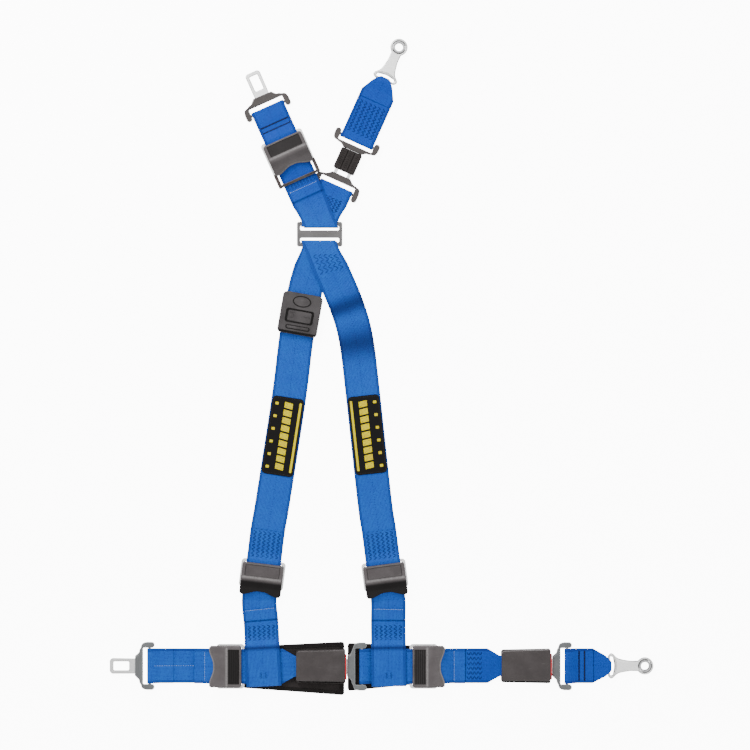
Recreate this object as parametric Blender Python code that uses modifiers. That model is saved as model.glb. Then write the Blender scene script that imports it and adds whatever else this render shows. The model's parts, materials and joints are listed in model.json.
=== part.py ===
# A four-point racing harness laid flat: blue webbing, a yoke slide, five lever
# adjusters, four tongues, two buckles, two bolt-in eye plates, pads and patches.
# Lengths below are millimetres, and MM turns them into metres.
import math

import bmesh
import bpy
import numpy as np

MM = 0.001
GAP = 0.3  # running clearance between pieces
ARC_STEP = 30.0  # degrees of turn for each flat of a rounded corner

# webbing
WEB_WIDTH = 50.0
WEB_THICK = 1.3
PITCH = WEB_THICK + GAP  # from one layer to the next
FLOOR_LAYER = WEB_THICK / 2  # centre height of a layer that lies on the floor
NARROW = 29.0  # width where a strap enters a buckle
EYE_NARROW = 24.0  # width where a strap wraps an eye plate
HEM = 16.0
SEAM = 1.0  # gap between the two ends of a sewn loop

# yoke slide
YOKE_X, YOKE_Y = -89.1, 192.3
YOKE_TOP_BAR, YOKE_SLOT, YOKE_MID_BAR, YOKE_LOW_BAR = 5.8, 6.5, 11.0, 6.0
YOKE_THICK = 2.5
YOKE_RETURN = 18.0
YOKE_BUNCH = WEB_WIDTH - 4.5  # width of a strap gathered in the yoke's slots
ARM_ANGLE = 24.2  # of each upper arm from the +Y axis
YOKE_SLOT_WIDTH = YOKE_BUNCH / math.cos(math.radians(ARM_ANGLE)) + 6.1
YOKE_WIDTH = YOKE_SLOT_WIDTH + 9.6

# lever adjuster; u runs from the slide bar to the fixed bar
FRAME_THICK = 3.0
FRAME_RAIL = 4.8
FRAME_WIDTH = WEB_WIDTH + 4.4 + 2 * FRAME_RAIL
FRAME_FRONT = 17.0  # slide bar to the outside of the front bar
FRAME_BAR = 4.0
FIXED_BAR_U = 22.0
SLIDE_RADIUS = 2.0
LEVER_WIDTH = WEB_WIDTH + 10.0
LEVER_FREE, LEVER_END = -27.0, 19.5
LEVER_TOP, LEVER_SKIN, LEVER_SKIRT = 9.8, 2.0, 1.4
LEVER_SCOOP = 6.0
HINGE_U, HINGE_Z, EAR_RADIUS, PIN_RADIUS = 17.0, 5.2, 2.2, 1.2
KEEPER_U = -42.8

# tongue; u runs from its web bar to its tip
TONGUE_BAR_RADIUS = 2.0
TONGUE_WIDTH = WEB_WIDTH + 19.0
TONGUE_BODY_START, TONGUE_BODY = 9.4, 12.0
TONGUE_MOULD = 6.0
TONGUE_RING = 4.0
TONGUE_LOBE = 7.0  # lobe behind the web bar
BLADE_WIDTH, BLADE_LENGTH, BLADE_THICK = 22.5, 36.0, 2.5
WINDOW_LENGTH, WINDOW_WIDTH, WINDOW_TIP = 22.5, 12.7, 5.4
LINK_BODY_START, LINK_BODY, LINK_BLADE = 8.0, 8.2, 26.0
ROOT_DEPTH = 7.0

# link block
BLOCK_LENGTH, BLOCK_WIDTH, BLOCK_HEIGHT = 31.9, BLADE_WIDTH + 9.5, 9.6
PRONG_WIDTH, PRONG_SPREAD, PRONG_GAP, PRONG_DEPTH = 5.0, 10.0, 6.0, 5.0

# eye plate; u runs from its web bar to its ring
EYE_REACH = 51.7
EYE_RADIUS, BUSH_RADIUS, HOLE_RADIUS = 12.4, 8.8, 5.75
EYE_THICK, EYE_BAR, EYE_NECK, EYE_SLOT = 3.0, 3.0, 15.0, 6.4
EYE_SLOT_WIDTH = EYE_NARROW + 3.0
EYE_WIDTH = EYE_SLOT_WIDTH + 10.0
BUSH_HEIGHT = 7.2

# buckle; u runs out of its mouth, z = 0 is the tongue's plane
HOUSING_LENGTH, HOUSING_WIDTH = 71.2, NARROW + 20.9
HOUSING_BELOW, HOUSING_ABOVE = 7.0, 9.0
HOUSING_WALL, HOUSING_FLOOR, HOUSING_TOP = 1.4, 1.2, 1.6
CHANNEL_WIDTH, CHANNEL_THICK = NARROW + 9.0, 2.0
CHANNEL_BAR, CHANNEL_SLOT = 5.0, 6.0
BUTTON_WIDTH, BUTTON_LENGTH, BUTTON_PROUD, BUTTON_TRAVEL = 36.5, 11.0, 1.7, 4.0
LATCH_WIDTH, LATCH_LENGTH, LATCH_U = 18.0, 12.0, -34.0

# label block, patches and pads
LABEL_X, LABEL_Y, LABEL_TURN = -117.3, 76.9, 10.0
LABEL_WIDTH, LABEL_LENGTH, LABEL_HEIGHT = WEB_WIDTH + 7.6, 60.0, 13.0
LABEL_FLOOR = 1.7
PATCH_WIDTH, PATCH_LENGTH, PATCH_THICK, PATCH_CORNER = WEB_WIDTH - 4.0, 113.5, 1.2, 6.0
PAD_THICK = 3.0

# places along the lap line
LAP_Y = -429.4
LEFT_TONGUE_X = -334.0
CENTRE_MOUTH_X = -52.0
RIGHT_MOUTH_X = 243.1
MOUTH_GAP = 2.3  # buckle mouth to the tongue's overmould
RIGHT_EYE_X = 379.2

# places along the arms, from the yoke's top bar
KEEPER_ARM_SLIDE, UPPER_TONGUE_BAR = 113.1, 181.6
LINK_BAR_LOW, LINK_BLOCK, LINK_BAR_HIGH, UPPER_EYE = 57.4, 82.8, 131.2, 278.7

# shoulder straps, top to bottom, between the yoke and the adjusters
LEFT_STRAP = ((-108.5, 117.5), (-122.4, 44.6), (-133.4, -42.3), (-156.5, -191.0))
RIGHT_STRAP_EDGE = ((-96.4, 139.5), (-74.7, 88.2), (-61.5, 40.0), (-51.6, -40.0), (-35.1, -191.0))
RIGHT_STRAP = tuple((x + WEB_WIDTH / 2, y) for x, y in RIGHT_STRAP_EDGE)
SHOULDERS = {
    "left": {"cover": (-172.6, -305.0), "turn": 7.0, "loop_x": -170.3, "waist_x": -173.5},
    "right": {"cover": (5.7, -306.0), "turn": -7.5, "loop_x": 10.4, "waist_x": 9.6},
}

# slide bars of the lap adjusters, whose fixed bars lie beside the shoulder loops
ADJUST_CLEAR = FIXED_BAR_U + FRAME_BAR / 2 + WEB_WIDTH / 2
LEFT_ADJUST_X = SHOULDERS["left"]["loop_x"] - ADJUST_CLEAR - 1.5
RIGHT_ADJUST_X = SHOULDERS["right"]["loop_x"] + ADJUST_CLEAR + 4.6

# heights of layers that lie on one another
SINGLE = FLOOR_LAYER
DOUBLE = FLOOR_LAYER + PITCH
LOOP_BACK = PAD_THICK + GAP + WEB_THICK / 2
BAND_LOW = LOOP_BACK + PITCH
BAND_HIGH = BAND_LOW + PITCH
FIXED_RISE = FRAME_THICK / 2 + GAP + WEB_THICK / 2
SLIDE_RISE = SLIDE_RADIUS + GAP + WEB_THICK / 2
LAP_ADJUST_Z = BAND_LOW + FIXED_RISE
LOOP_FRONT = LAP_ADJUST_Z + FIXED_RISE + PITCH
TONGUE_RISE = TONGUE_BAR_RADIUS + GAP + WEB_THICK / 2
LOW_Z = FLOOR_LAYER + SLIDE_RISE  # bar centre of hardware that lies on the floor
CENTRE_Z = PAD_THICK + GAP + HOUSING_BELOW
RIGHT_Z = HOUSING_BELOW
YOKE_RISE = YOKE_THICK / 2 + GAP + WEB_THICK / 2
YOKE_Z = FLOOR_LAYER + PITCH + YOKE_RISE
YOKE_INNER = YOKE_Z + YOKE_RISE
YOKE_OUTER = YOKE_INNER + PITCH
LINK_Z = YOKE_INNER - TONGUE_RISE
CROSS_Z = YOKE_OUTER
KEEPER_Z = CROSS_Z + SLIDE_RISE
CHANNEL_Z = -(BLADE_THICK / 2 + GAP + CHANNEL_THICK / 2)  # below the tongue's plane
CHANNEL_RISE = CHANNEL_THICK / 2 + GAP + WEB_THICK / 2
EYE_RISE = SLIDE_RISE

COLOURS = {  # base colour, roughness, metallic
    "webbing": ((0.03, 0.16, 0.55), 0.75, 0.0),
    "black_plastic": ((0.07, 0.065, 0.065), 0.5, 0.0),
    "grey_mould": ((0.2, 0.21, 0.21), 0.5, 0.0),
    "steel": ((0.75, 0.75, 0.76), 0.28, 1.0),
    "dark_steel": ((0.32, 0.32, 0.33), 0.4, 1.0),
    "patch": ((0.012, 0.01, 0.01), 0.6, 0.0),
    "pad": ((0.02, 0.02, 0.022), 0.9, 0.0),
    "button_red": ((0.45, 0.04, 0.03), 0.45, 0.0),
}


def clear_scene():
    for obj in list(bpy.data.objects):
        bpy.data.objects.remove(obj, do_unlink=True)


def collection(name):
    made = bpy.data.collections.new(name)
    bpy.context.scene.collection.children.link(made)
    return made


def make_materials():
    made = {}
    for name, (colour, rough, metal) in COLOURS.items():
        mat = bpy.data.materials.new(name)
        mat.use_nodes = True
        shader = mat.node_tree.nodes["Principled BSDF"]
        shader.inputs["Base Color"].default_value = (*colour, 1.0)
        shader.inputs["Roughness"].default_value = rough
        shader.inputs["Metallic"].default_value = metal
        made[name] = mat
    return made


def empty_at(name, x=0.0, y=0.0, z=0.0, turn=0.0, parent=None):
    made = bpy.data.objects.new(name, None)
    PARTS.objects.link(made)
    made.parent = parent or ROOT
    made.location = (x * MM, y * MM, z * MM)
    made.rotation_euler = (0.0, 0.0, math.radians(turn))
    return made


def add(name, mesh, parent, mat, at=(0.0, 0.0, 0.0)):
    # the origin goes to the point at, while the shape stays where it was modelled
    made = bpy.data.objects.new(name, mesh)
    PARTS.objects.link(made)
    made.parent = parent or ROOT
    made.location = tuple(c * MM for c in at)
    for vertex in mesh.vertices:
        for k in range(3):
            vertex.co[k] -= at[k] * MM
    if mat:
        mesh.materials.append(MATS[mat])
    return made


def box_mesh(low, high):
    bm = bmesh.new()
    bmesh.ops.create_cube(bm, size=1.0)
    for vert in bm.verts:
        for k in range(3):
            vert.co[k] = (low[k] if vert.co[k] < 0 else high[k]) * MM
    mesh = bpy.data.meshes.new("box")
    bm.to_mesh(mesh)
    bm.free()
    return mesh


def rod_mesh(centre, radius, low, high, axis, sides=12):
    # a cylinder along axis (0 x, 1 y, 2 z) from low to high, through centre's other two values
    bm = bmesh.new()
    bmesh.ops.create_cone(
        bm, cap_ends=True, segments=sides, radius1=radius * MM, radius2=radius * MM, depth=1.0
    )
    order = {0: (2, 0, 1), 1: (1, 2, 0), 2: (0, 1, 2)}[axis]
    for vert in bm.verts:
        local = vert.co.copy()
        along = low if local.z < 0 else high
        placed = [local.x / MM, local.y / MM, along]
        for k in range(3):
            value = placed[order[k]]
            vert.co[k] = (value + (0.0 if k == axis else centre[k])) * MM
    bmesh.ops.recalc_face_normals(bm, faces=bm.faces)
    mesh = bpy.data.meshes.new("rod")
    bm.to_mesh(mesh)
    bm.free()
    return mesh


def rounded(corners, closed=True):
    # corners are (x, y, radius); each becomes an arc that fits the sides next to it
    count = len(corners)
    found = []
    for i, (x, y, radius) in enumerate(corners):
        here = np.array([x, y], float)
        if radius <= 0 or (not closed and i in (0, count - 1)):
            found.append(here)
            continue
        back = np.array(corners[i - 1][:2], float) - here
        ahead = np.array(corners[(i + 1) % count][:2], float) - here
        near, far = np.linalg.norm(back), np.linalg.norm(ahead)
        back, ahead = back / near, ahead / far
        turn = math.pi - math.acos(max(-1.0, min(1.0, float(back @ ahead))))
        if turn < 1e-3:
            found.append(here)
            continue
        trim = min(radius * math.tan(turn / 2), 0.499 * near, 0.499 * far)
        radius = trim / math.tan(turn / 2)
        middle = back + ahead
        centre = here + middle / np.linalg.norm(middle) * radius / math.cos(turn / 2)
        start, end = here + back * trim - centre, here + ahead * trim - centre
        steps = max(1, math.ceil(math.degrees(turn) / ARC_STEP))
        side = math.copysign(1.0, start[0] * end[1] - start[1] * end[0])
        for step in range(steps + 1):
            a = side * turn * step / steps
            found.append(
                centre
                + (
                    start[0] * math.cos(a) - start[1] * math.sin(a),
                    start[0] * math.sin(a) + start[1] * math.cos(a),
                )
            )
    return found


def arc(centre, radius, start, end, steps=12):
    # points on a circle between two angles in degrees, as corners without rounding
    angles = np.radians(np.linspace(start, end, steps + 1))
    return [(centre[0] + radius * math.cos(a), centre[1] + radius * math.sin(a), 0.0) for a in angles]


def plate_mesh(loops, low, high):
    # a flat outline with its holes, between the heights low and high
    curve = bpy.data.curves.new("outline", "CURVE")
    curve.dimensions = "2D"
    curve.fill_mode = "BOTH"
    curve.extrude = (high - low) / 2 * MM
    for loop in loops:
        spline = curve.splines.new("POLY")
        points = rounded(loop)
        spline.points.add(len(points) - 1)
        for point, (x, y) in zip(spline.points, points):
            point.co = (x * MM, y * MM, 0.0, 1.0)
        spline.use_cyclic_u = True
    drawn = bpy.data.objects.new("outline", curve)
    PARTS.objects.link(drawn)
    graph = bpy.context.evaluated_depsgraph_get()
    mesh = bpy.data.meshes.new_from_object(drawn.evaluated_get(graph))
    bpy.data.objects.remove(drawn, do_unlink=True)
    bpy.data.curves.remove(curve)
    bm = bmesh.new()
    bm.from_mesh(mesh)
    bmesh.ops.remove_doubles(bm, verts=bm.verts, dist=1e-6)
    bmesh.ops.translate(bm, verts=bm.verts, vec=(0.0, 0.0, (low + high) / 2 * MM))
    bm.to_mesh(mesh)
    bm.free()
    return mesh


def side_mesh(outline, half_width):
    # an outline in (u, z), drawn out across v to both sides
    mesh = plate_mesh([outline], -half_width, half_width)
    for vertex in mesh.vertices:
        u, z, across = vertex.co
        vertex.co = (u, -across, z)
    return mesh


def combine(obj, mesh, operation="DIFFERENCE"):
    cutter = bpy.data.objects.new(obj.name + "_tool", mesh)
    CUTTERS.objects.link(cutter)
    cutter.parent = obj
    cutter.location = tuple(-c for c in obj.location)
    cutter.hide_render = True
    cutter.display_type = "WIRE"
    modifier = obj.modifiers.new(operation.lower(), "BOOLEAN")
    modifier.operation = operation
    modifier.solver = "EXACT"
    modifier.object = cutter


def soften(obj, width, segments=1):
    modifier = obj.modifiers.new("bevel", "BEVEL")
    modifier.width = width * MM
    modifier.segments = segments
    modifier.limit_method = "ANGLE"
    modifier.angle_limit = math.radians(50)


def box_outline(u0, u1, half, radius):
    return [(u0, -half, radius), (u1, -half, radius), (u1, half, radius), (u0, half, radius)]


# webbing


class Route:
    # a strap's centre line in plan, read by the distance along it from its first point
    def __init__(self, points, widths=((0.0, WEB_WIDTH),), square=None, start=0.0):
        self.widths = widths
        self.square = square
        pts = np.array(points, float)
        ends = np.vstack([2 * pts[0] - pts[1], pts, 2 * pts[-1] - pts[-2]])
        fine = [pts[0]]
        for a, b, c, d in zip(ends, ends[1:], ends[2:], ends[3:]):
            for t in np.linspace(0, 1, 9)[1:]:
                fine.append(
                    0.5 * (2 * b + (c - a) * t + (2 * a - 5 * b + 4 * c - d) * t**2 + (3 * b - a - 3 * c + d) * t**3)
                )
        self.points = np.array(fine)
        steps = np.linalg.norm(np.diff(self.points, axis=0), axis=1)
        self.dist = np.concatenate([[0.0], np.cumsum(steps)]) + start
        self.length = self.dist[-1]
        self.curved = len(points) > 2

    def place(self, s):
        inside = np.clip(s, self.dist[0], self.dist[-1])
        here = np.array([np.interp(inside, self.dist, self.points[:, k]) for k in (0, 1)])
        return here + self.heading(inside) * (s - inside)

    def heading(self, s):
        low = np.clip(s - 4.0, self.dist[0], self.dist[-1] - 1.0)
        high = np.clip(s + 4.0, self.dist[0] + 1.0, self.dist[-1])
        step = [
            np.interp(high, self.dist, self.points[:, k]) - np.interp(low, self.dist, self.points[:, k])
            for k in (0, 1)
        ]
        return np.array(step) / np.linalg.norm(step)

    def row(self, s):
        # (the row's unit direction, half its length): square to the strap, or along the
        # yoke's bars near the yoke, where a slanted strap covers more of the bar
        ahead = self.heading(s)
        across = np.array([ahead[1], -ahead[0]])
        if self.square:
            share = float(np.interp(s, self.square, (1.0, 0.0)))
            along_bar = np.array([math.copysign(1.0, across[0]), 0.0])
            mixed = along_bar * share + across * (1 - share)
            mixed /= np.linalg.norm(mixed)
        else:
            mixed = across
        width = np.interp(s, [w[0] for w in self.widths], [w[1] for w in self.widths])
        return mixed, width / 2 / float(mixed @ across)


def web_strip(name, route, corners, parent=None):
    # a flat strap: its side view is a rounded path of (distance along the route, height)
    path = rounded(corners, closed=False)
    marks = [w[0] for w in route.widths] + list(route.square or ())
    if route.curved:
        marks += list(np.arange(0.0, route.length, 24.0))
    fine = [path[0]]
    for a, b in zip(path, path[1:]):
        passed = [m for m in set(marks) if min(a[0], b[0]) + 0.5 < m < max(a[0], b[0]) - 0.5]
        shares = sorted((m - a[0]) / (b[0] - a[0]) for m in passed)
        fine.extend(a + (b - a) * share for share in [*shares, 1.0])
    bm = bmesh.new()
    rows = []
    for s, z in fine:
        centre = route.place(s)
        row, half = route.row(s)
        rows.append([bm.verts.new((*((centre + row * half * side) * MM), z * MM)) for side in (-1, 1)])
    for (a, b), (c, d) in zip(rows, rows[1:]):
        bm.faces.new((a, b, d, c))
    mesh = bpy.data.meshes.new(name)
    bm.to_mesh(mesh)
    bm.free()
    obj = add(name, mesh, parent, "webbing")
    thick = obj.modifiers.new("thickness", "SOLIDIFY")
    thick.thickness = WEB_THICK * MM
    thick.offset = 0.0
    thick.use_even_offset = True
    return obj


def fold(s, z, reach, rise, way, up=1, outside=0.0):
    # two corners that take a strap round a bar at (s, z): on beyond the bar, then back.
    # way is the side of the bar where it turns, up is +1 when it comes in below, and
    # outside is how far this layer lies from one that is nearer to the bar
    tight = WEB_THICK / 2 + 2 * GAP + outside
    radius = rise * 0.98 if reach == rise else min(tight, reach, rise)
    return [(s + way * reach, z - up * rise, radius), (s + way * reach, z + up * rise, radius)]


def band(name, route, first, last, low, high, seam, ramp=14.0, parent=None, under=False, hold=0.0):
    # a sewn loop round two bars; first and last are (s, z, reach, rise). The layers
    # between them are at low and high, and the seam is in the upper one, or the lower one
    near, far = (low, high) if not under else (high, low)
    sign = -1 if under else 1
    corners = [(seam - SEAM / 2, far, 0.0)]
    s, z, reach, rise = first
    hold = hold or (1.0 if reach == rise else reach)
    corners += [(s + hold + ramp, far, 6.0), (s + hold, z + sign * rise, 4.0)]
    corners += fold(s, z, reach, rise, -1, -sign)
    flat = 1.0 if reach == rise else reach
    corners += [(s + flat, z - sign * rise, 4.0), (s + flat + ramp, near, 6.0)]
    s, z, reach, rise = last
    flat = 1.0 if reach == rise else reach
    corners += [(s - flat - ramp, near, 6.0), (s - flat, z - sign * rise, 4.0)]
    corners += fold(s, z, reach, rise, 1, sign)
    corners += [(s - flat, z + sign * rise, 4.0), (s - flat - ramp, far, 6.0)]
    corners.append((seam + SEAM / 2, far, 0.0))
    return web_strip(name, route, corners, parent)


def tail(slide, height, drop, rest, end, way):
    # from over the slide bar down to its resting height, and back over itself as a hem.
    # way is -1 where the tail runs towards smaller distances
    return [
        (slide + way * (FRAME_FRONT + 3.0), height, 4.0),
        (drop, rest, 6.0),
        (end, rest, PITCH * 0.49),
        (end, rest + PITCH, PITCH * 0.49),
        (end - way * HEM, rest + PITCH, 0.0),
    ]


# hardware


def adjuster(prefix, place, keeper=False):
    # a frame with its fixed bar, a slide bar, and a lever cover hinged on two ears
    half, window = FRAME_WIDTH / 2, FRAME_WIDTH / 2 - FRAME_RAIL
    fixed_out = FIXED_BAR_U + FRAME_BAR / 2
    front = KEEPER_U - FRAME_BAR / 2 if keeper else -FRAME_FRONT
    ring = box_outline(front, fixed_out, half, 5.0)
    hole = box_outline(front + FRAME_BAR, fixed_out - FRAME_BAR, window, 1.5)
    frame = add(prefix + "_frame", plate_mesh([ring, hole], -FRAME_THICK / 2, FRAME_THICK / 2), place, "steel")
    if keeper:
        # the front bar steps up over the two layers that it keeps
        clear = CROSS_Z - KEEPER_Z + PITCH + WEB_THICK / 2 + GAP + 0.4
        combine(frame, box_mesh((front - 1, -window, -9), (front + FRAME_BAR + 1, window, 9)))
        raised = box_mesh(
            (front, -half + 0.5, clear), (front + FRAME_BAR, half - 0.5, clear + FRAME_THICK)
        )
        combine(frame, raised, "UNION")
        for side in (-1, 1):
            sides = sorted((side * (window + 0.4), side * (half - 0.9)))
            post = box_mesh((front + 0.4, sides[0], 0.0), (front + FRAME_BAR - 0.4, sides[1], clear + 1.0))
            combine(frame, post, "UNION")
    ear_in = WEB_WIDTH / 2 + GAP + 0.7
    skirt_in = LEVER_WIDTH / 2 - LEVER_SKIRT
    ear_out = skirt_in - GAP
    for side in (-1, 1):
        ear = [(HINGE_U - EAR_RADIUS, 0.0, 0), (HINGE_U + EAR_RADIUS, 0.0, 0)]
        ear += arc((HINGE_U, HINGE_Z), EAR_RADIUS, 0, 180, 8)
        mesh = side_mesh(ear, (ear_out - ear_in) / 2)
        for vertex in mesh.vertices:
            vertex.co.y += side * (ear_in + ear_out) / 2 * MM
        combine(frame, mesh, "UNION")
        pin = sorted((side * (ear_in + 0.5), side * (LEVER_WIDTH / 2 - 0.2)))
        combine(frame, rod_mesh((HINGE_U, 0, HINGE_Z), PIN_RADIUS, *pin, 1, 12), "UNION")

    block_in, block_out = WEB_WIDTH / 2 + GAP + 0.2, window - GAP
    bar = add(
        prefix + "_slide_bar",
        rod_mesh((0, 0, 0), SLIDE_RADIUS, -block_in - 0.5, block_in + 0.5, 1),
        place,
        "dark_steel",
    )
    tab_low = FRAME_THICK / 2 + GAP
    for side in (-1, 1):
        inner = sorted((side * block_in, side * block_out))
        outer = sorted((side * (block_out - 0.5), side * (skirt_in - GAP)))
        combine(bar, box_mesh((-3.2, inner[0], -SLIDE_RADIUS), (3.2, inner[1], tab_low + 1.0)), "UNION")
        combine(bar, box_mesh((-3.2, outer[0], tab_low), (3.2, outer[1], tab_low + 1.0)), "UNION")

    low = FRAME_THICK / 2 + 0.7
    outline = [
        (LEVER_FREE, low, 0.6),
        (HINGE_U, low, 0.0),
        (LEVER_END, HINGE_Z - 0.2, 0.0),
        (LEVER_END, LEVER_TOP, 2.0),
        (HINGE_U - 12.0, LEVER_TOP, 0.0),
        (LEVER_FREE, LEVER_TOP - 2.4, 1.6),
    ]
    lever = add(
        prefix + "_lever", side_mesh(outline, LEVER_WIDTH / 2), place, "black_plastic", (HINGE_U, 0, HINGE_Z)
    )
    hollow = [
        (LEVER_FREE - 5, low - 5, 0.0),
        (LEVER_END + 5, low - 5, 0.0),
        (LEVER_END + 5, LEVER_TOP - LEVER_SKIN, 0.0),
        (HINGE_U - 12.0, LEVER_TOP - LEVER_SKIN, 0.0),
        (LEVER_FREE - 5, LEVER_TOP - LEVER_SKIN - 2.8, 0.0),
    ]
    combine(lever, side_mesh(hollow, skirt_in))
    scoop = LEVER_WIDTH**2 / 8 / LEVER_SCOOP + LEVER_SCOOP / 2
    combine(lever, rod_mesh((LEVER_FREE + LEVER_SCOOP - scoop, 0, 0), scoop, -5, 20, 2, 72))
    combine(lever, rod_mesh((HINGE_U, 0, HINGE_Z), PIN_RADIUS + GAP, -40, 40, 1, 12))
    recess = box_outline(HINGE_U - 11.0, LEVER_END - 3.0, LEVER_WIDTH / 2 - 6.0, 2.0)
    combine(lever, plate_mesh([recess], LEVER_TOP - 0.8, LEVER_TOP + 5))


def mould_outline(start, length, lobe):
    # half of a tongue's overmould, from its nose round a lobe, mirrored in v
    nose = BLADE_WIDTH / 2 + 3.0
    half = TONGUE_WIDTH / 2
    end = start + length
    side = [
        (end, nose, 2.0),
        (end - length * 0.55, nose + 5.5, 12.0),
        (start + 1.5, half - 1.5, 8.0),
        (start - 5.5, half, 6.0),
        (-lobe, half, 8.0),
        (-lobe, half - 9.0, 3.0),
    ]
    return side + [(u, -v, r) for u, v, r in reversed(side)]


def tongue(prefix, place, start, length, blade, window=True, mould="grey_mould"):
    # an overmould with the web bar, and a steel plate whose root sits in its pocket
    half = WEB_WIDTH / 2 + 1.2
    end = start + length
    # the opening runs out behind, so only the round bar closes it
    outline = mould_outline(start, length, TONGUE_LOBE)
    mould = add(prefix + "_mould", plate_mesh([outline], -TONGUE_RING / 2, TONGUE_RING / 2), place, mould)
    combine(mould, box_mesh((-TONGUE_LOBE - 5, -half, -9), (start, half, 9)))
    combine(mould, rod_mesh((0, 0, 0), TONGUE_BAR_RADIUS, -half - 3, half + 3, 1, 12), "UNION")
    body_half = half + 2.0
    body = [
        (start + 0.4, -body_half, 2.0),
        (start + length * 0.4, -body_half + 3.0, 6.0),
        (start + length * 0.5, -BLADE_WIDTH / 2 - 6.0, 6.0),
        (end - 0.6, -BLADE_WIDTH / 2 - 2.0, 1.0),
    ]
    body += [(u, -v, r) for u, v, r in reversed(body)]
    combine(mould, plate_mesh([body], -TONGUE_MOULD / 2, TONGUE_MOULD / 2), "UNION")
    pocket = BLADE_THICK / 2 + GAP
    combine(
        mould,
        box_mesh((end - ROOT_DEPTH - GAP, -BLADE_WIDTH / 2 - GAP, -pocket), (end + 5, BLADE_WIDTH / 2 + GAP, pocket)),
    )
    tip = end + blade
    loops = [
        [
            (end - ROOT_DEPTH, -BLADE_WIDTH / 2, 0.0),
            (tip, -BLADE_WIDTH / 2, 5.0),
            (tip, BLADE_WIDTH / 2, 5.0),
            (end - ROOT_DEPTH, BLADE_WIDTH / 2, 0.0),
        ]
    ]
    if window:
        loops.append(box_outline(tip - WINDOW_TIP - WINDOW_LENGTH, tip - WINDOW_TIP, WINDOW_WIDTH / 2, 1.5))
    add(prefix + "_plate", plate_mesh(loops, -BLADE_THICK / 2, BLADE_THICK / 2), place, "steel")


def eye_plate(prefix, place):
    # a plate from its web bar, past a D-shaped slot, to a bolt ring with its bush
    half = EYE_WIDTH / 2
    inner = EYE_BAR / 2
    side = [
        (-inner, half - 3.0, 2.0),
        (inner + 1.0, half, 4.0),
        (inner + EYE_SLOT * 0.7, half, 7.0),
        (inner + EYE_SLOT + 7.5, EYE_NECK / 2, 9.0),
    ]
    spread = math.degrees(math.asin(EYE_NECK / 2 / EYE_RADIUS))
    ring = arc((EYE_REACH, 0), EYE_RADIUS, 180 - spread, -180 + spread, 28)
    outline = side + ring + [(u, -v, r) for u, v, r in reversed(side)]
    slot_half = EYE_SLOT_WIDTH / 2
    slot = [
        (inner, -slot_half, 0.6),
        (inner + EYE_SLOT * 0.62, -slot_half, 3.0),
        (inner + EYE_SLOT, 0.0, 26.0),
        (inner + EYE_SLOT * 0.62, slot_half, 3.0),
        (inner, slot_half, 0.6),
    ]
    hole = arc((EYE_REACH, 0), BUSH_RADIUS + GAP, 0, 345, 23)
    add(prefix + "_plate", plate_mesh([outline, slot, hole], -EYE_THICK / 2, EYE_THICK / 2), place, "steel")
    rim = arc((EYE_REACH, 0), BUSH_RADIUS, 0, 345, 23)
    bore = arc((EYE_REACH, 0), HOLE_RADIUS, 0, 337.5, 15)
    add(prefix + "_bush", plate_mesh([rim, bore], -BUSH_HEIGHT / 2, BUSH_HEIGHT / 2), place, "dark_steel")


def buckle(prefix, place):
    # two cover halves round a steel channel, a latch over the tongue, and a push button
    half, back = HOUSING_WIDTH / 2, -HOUSING_LENGTH
    inner = CHANNEL_WIDTH / 2 + GAP
    ledge = CHANNEL_Z - CHANNEL_THICK / 2 - GAP
    web_half = NARROW / 2 + GAP + 0.2
    mouth_half = BLADE_WIDTH / 2 + GAP + 0.3
    end_wall = back + HOUSING_WALL + 0.6
    bar_u = end_wall + GAP

    def cover(name, low, high):
        obj = add(name, plate_mesh([box_outline(back, 0.0, half, 5.0)], low, high), place, "black_plastic")
        soften(obj, 1.6)
        return obj

    lower = cover(prefix + "_back", -HOUSING_BELOW, -GAP / 2)
    combine(lower, box_mesh((end_wall, -inner, ledge), (-HOUSING_WALL, inner, 5)))
    combine(
        lower,
        box_mesh((back - 5, -web_half, -HOUSING_BELOW + HOUSING_FLOOR), (bar_u + 16.0, web_half, 5)),
    )
    combine(lower, box_mesh((-5, -mouth_half, -BLADE_THICK / 2 - GAP), (5, mouth_half, 5)))

    ceiling = HOUSING_ABOVE - HOUSING_TOP
    upper = cover(prefix + "_front", GAP / 2, HOUSING_ABOVE)
    combine(upper, box_mesh((end_wall, -inner, -5), (-HOUSING_WALL, inner, ceiling)))
    combine(upper, box_mesh((back - 5, -web_half, -5), (bar_u + 1.0, web_half, CHANNEL_Z + CHANNEL_RISE + 3.0)))
    combine(upper, box_mesh((-5, -mouth_half, -5), (5, mouth_half, BLADE_THICK / 2 + GAP)))
    button_half = BUTTON_WIDTH / 2
    button_low = BLADE_THICK / 2 + 3 * GAP
    combine(
        upper,
        box_mesh((-5, -button_half - GAP, button_low - GAP), (5, button_half + GAP, ceiling)),
    )

    channel = add(
        prefix + "_channel",
        plate_mesh(
            [
                box_outline(bar_u, -HOUSING_WALL - GAP, CHANNEL_WIDTH / 2, 1.5),
                box_outline(bar_u + CHANNEL_BAR, bar_u + CHANNEL_BAR + CHANNEL_SLOT, web_half, 1.0),
            ],
            CHANNEL_Z - CHANNEL_THICK / 2,
            CHANNEL_Z + CHANNEL_THICK / 2,
        ),
        place,
        "dark_steel",
    )
    soften(channel, 0.2)
    add(
        prefix + "_button",
        box_mesh(
            (BUTTON_PROUD - BUTTON_LENGTH, -button_half, button_low),
            (BUTTON_PROUD, button_half, ceiling - GAP),
        ),
        place,
        "button_red",
    )
    add(
        prefix + "_latch",
        box_mesh(
            (LATCH_U - LATCH_LENGTH / 2, -LATCH_WIDTH / 2, BLADE_THICK / 2 + GAP),
            (LATCH_U + LATCH_LENGTH / 2, LATCH_WIDTH / 2, ceiling - GAP),
        ),
        place,
        "steel",
    )


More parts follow.
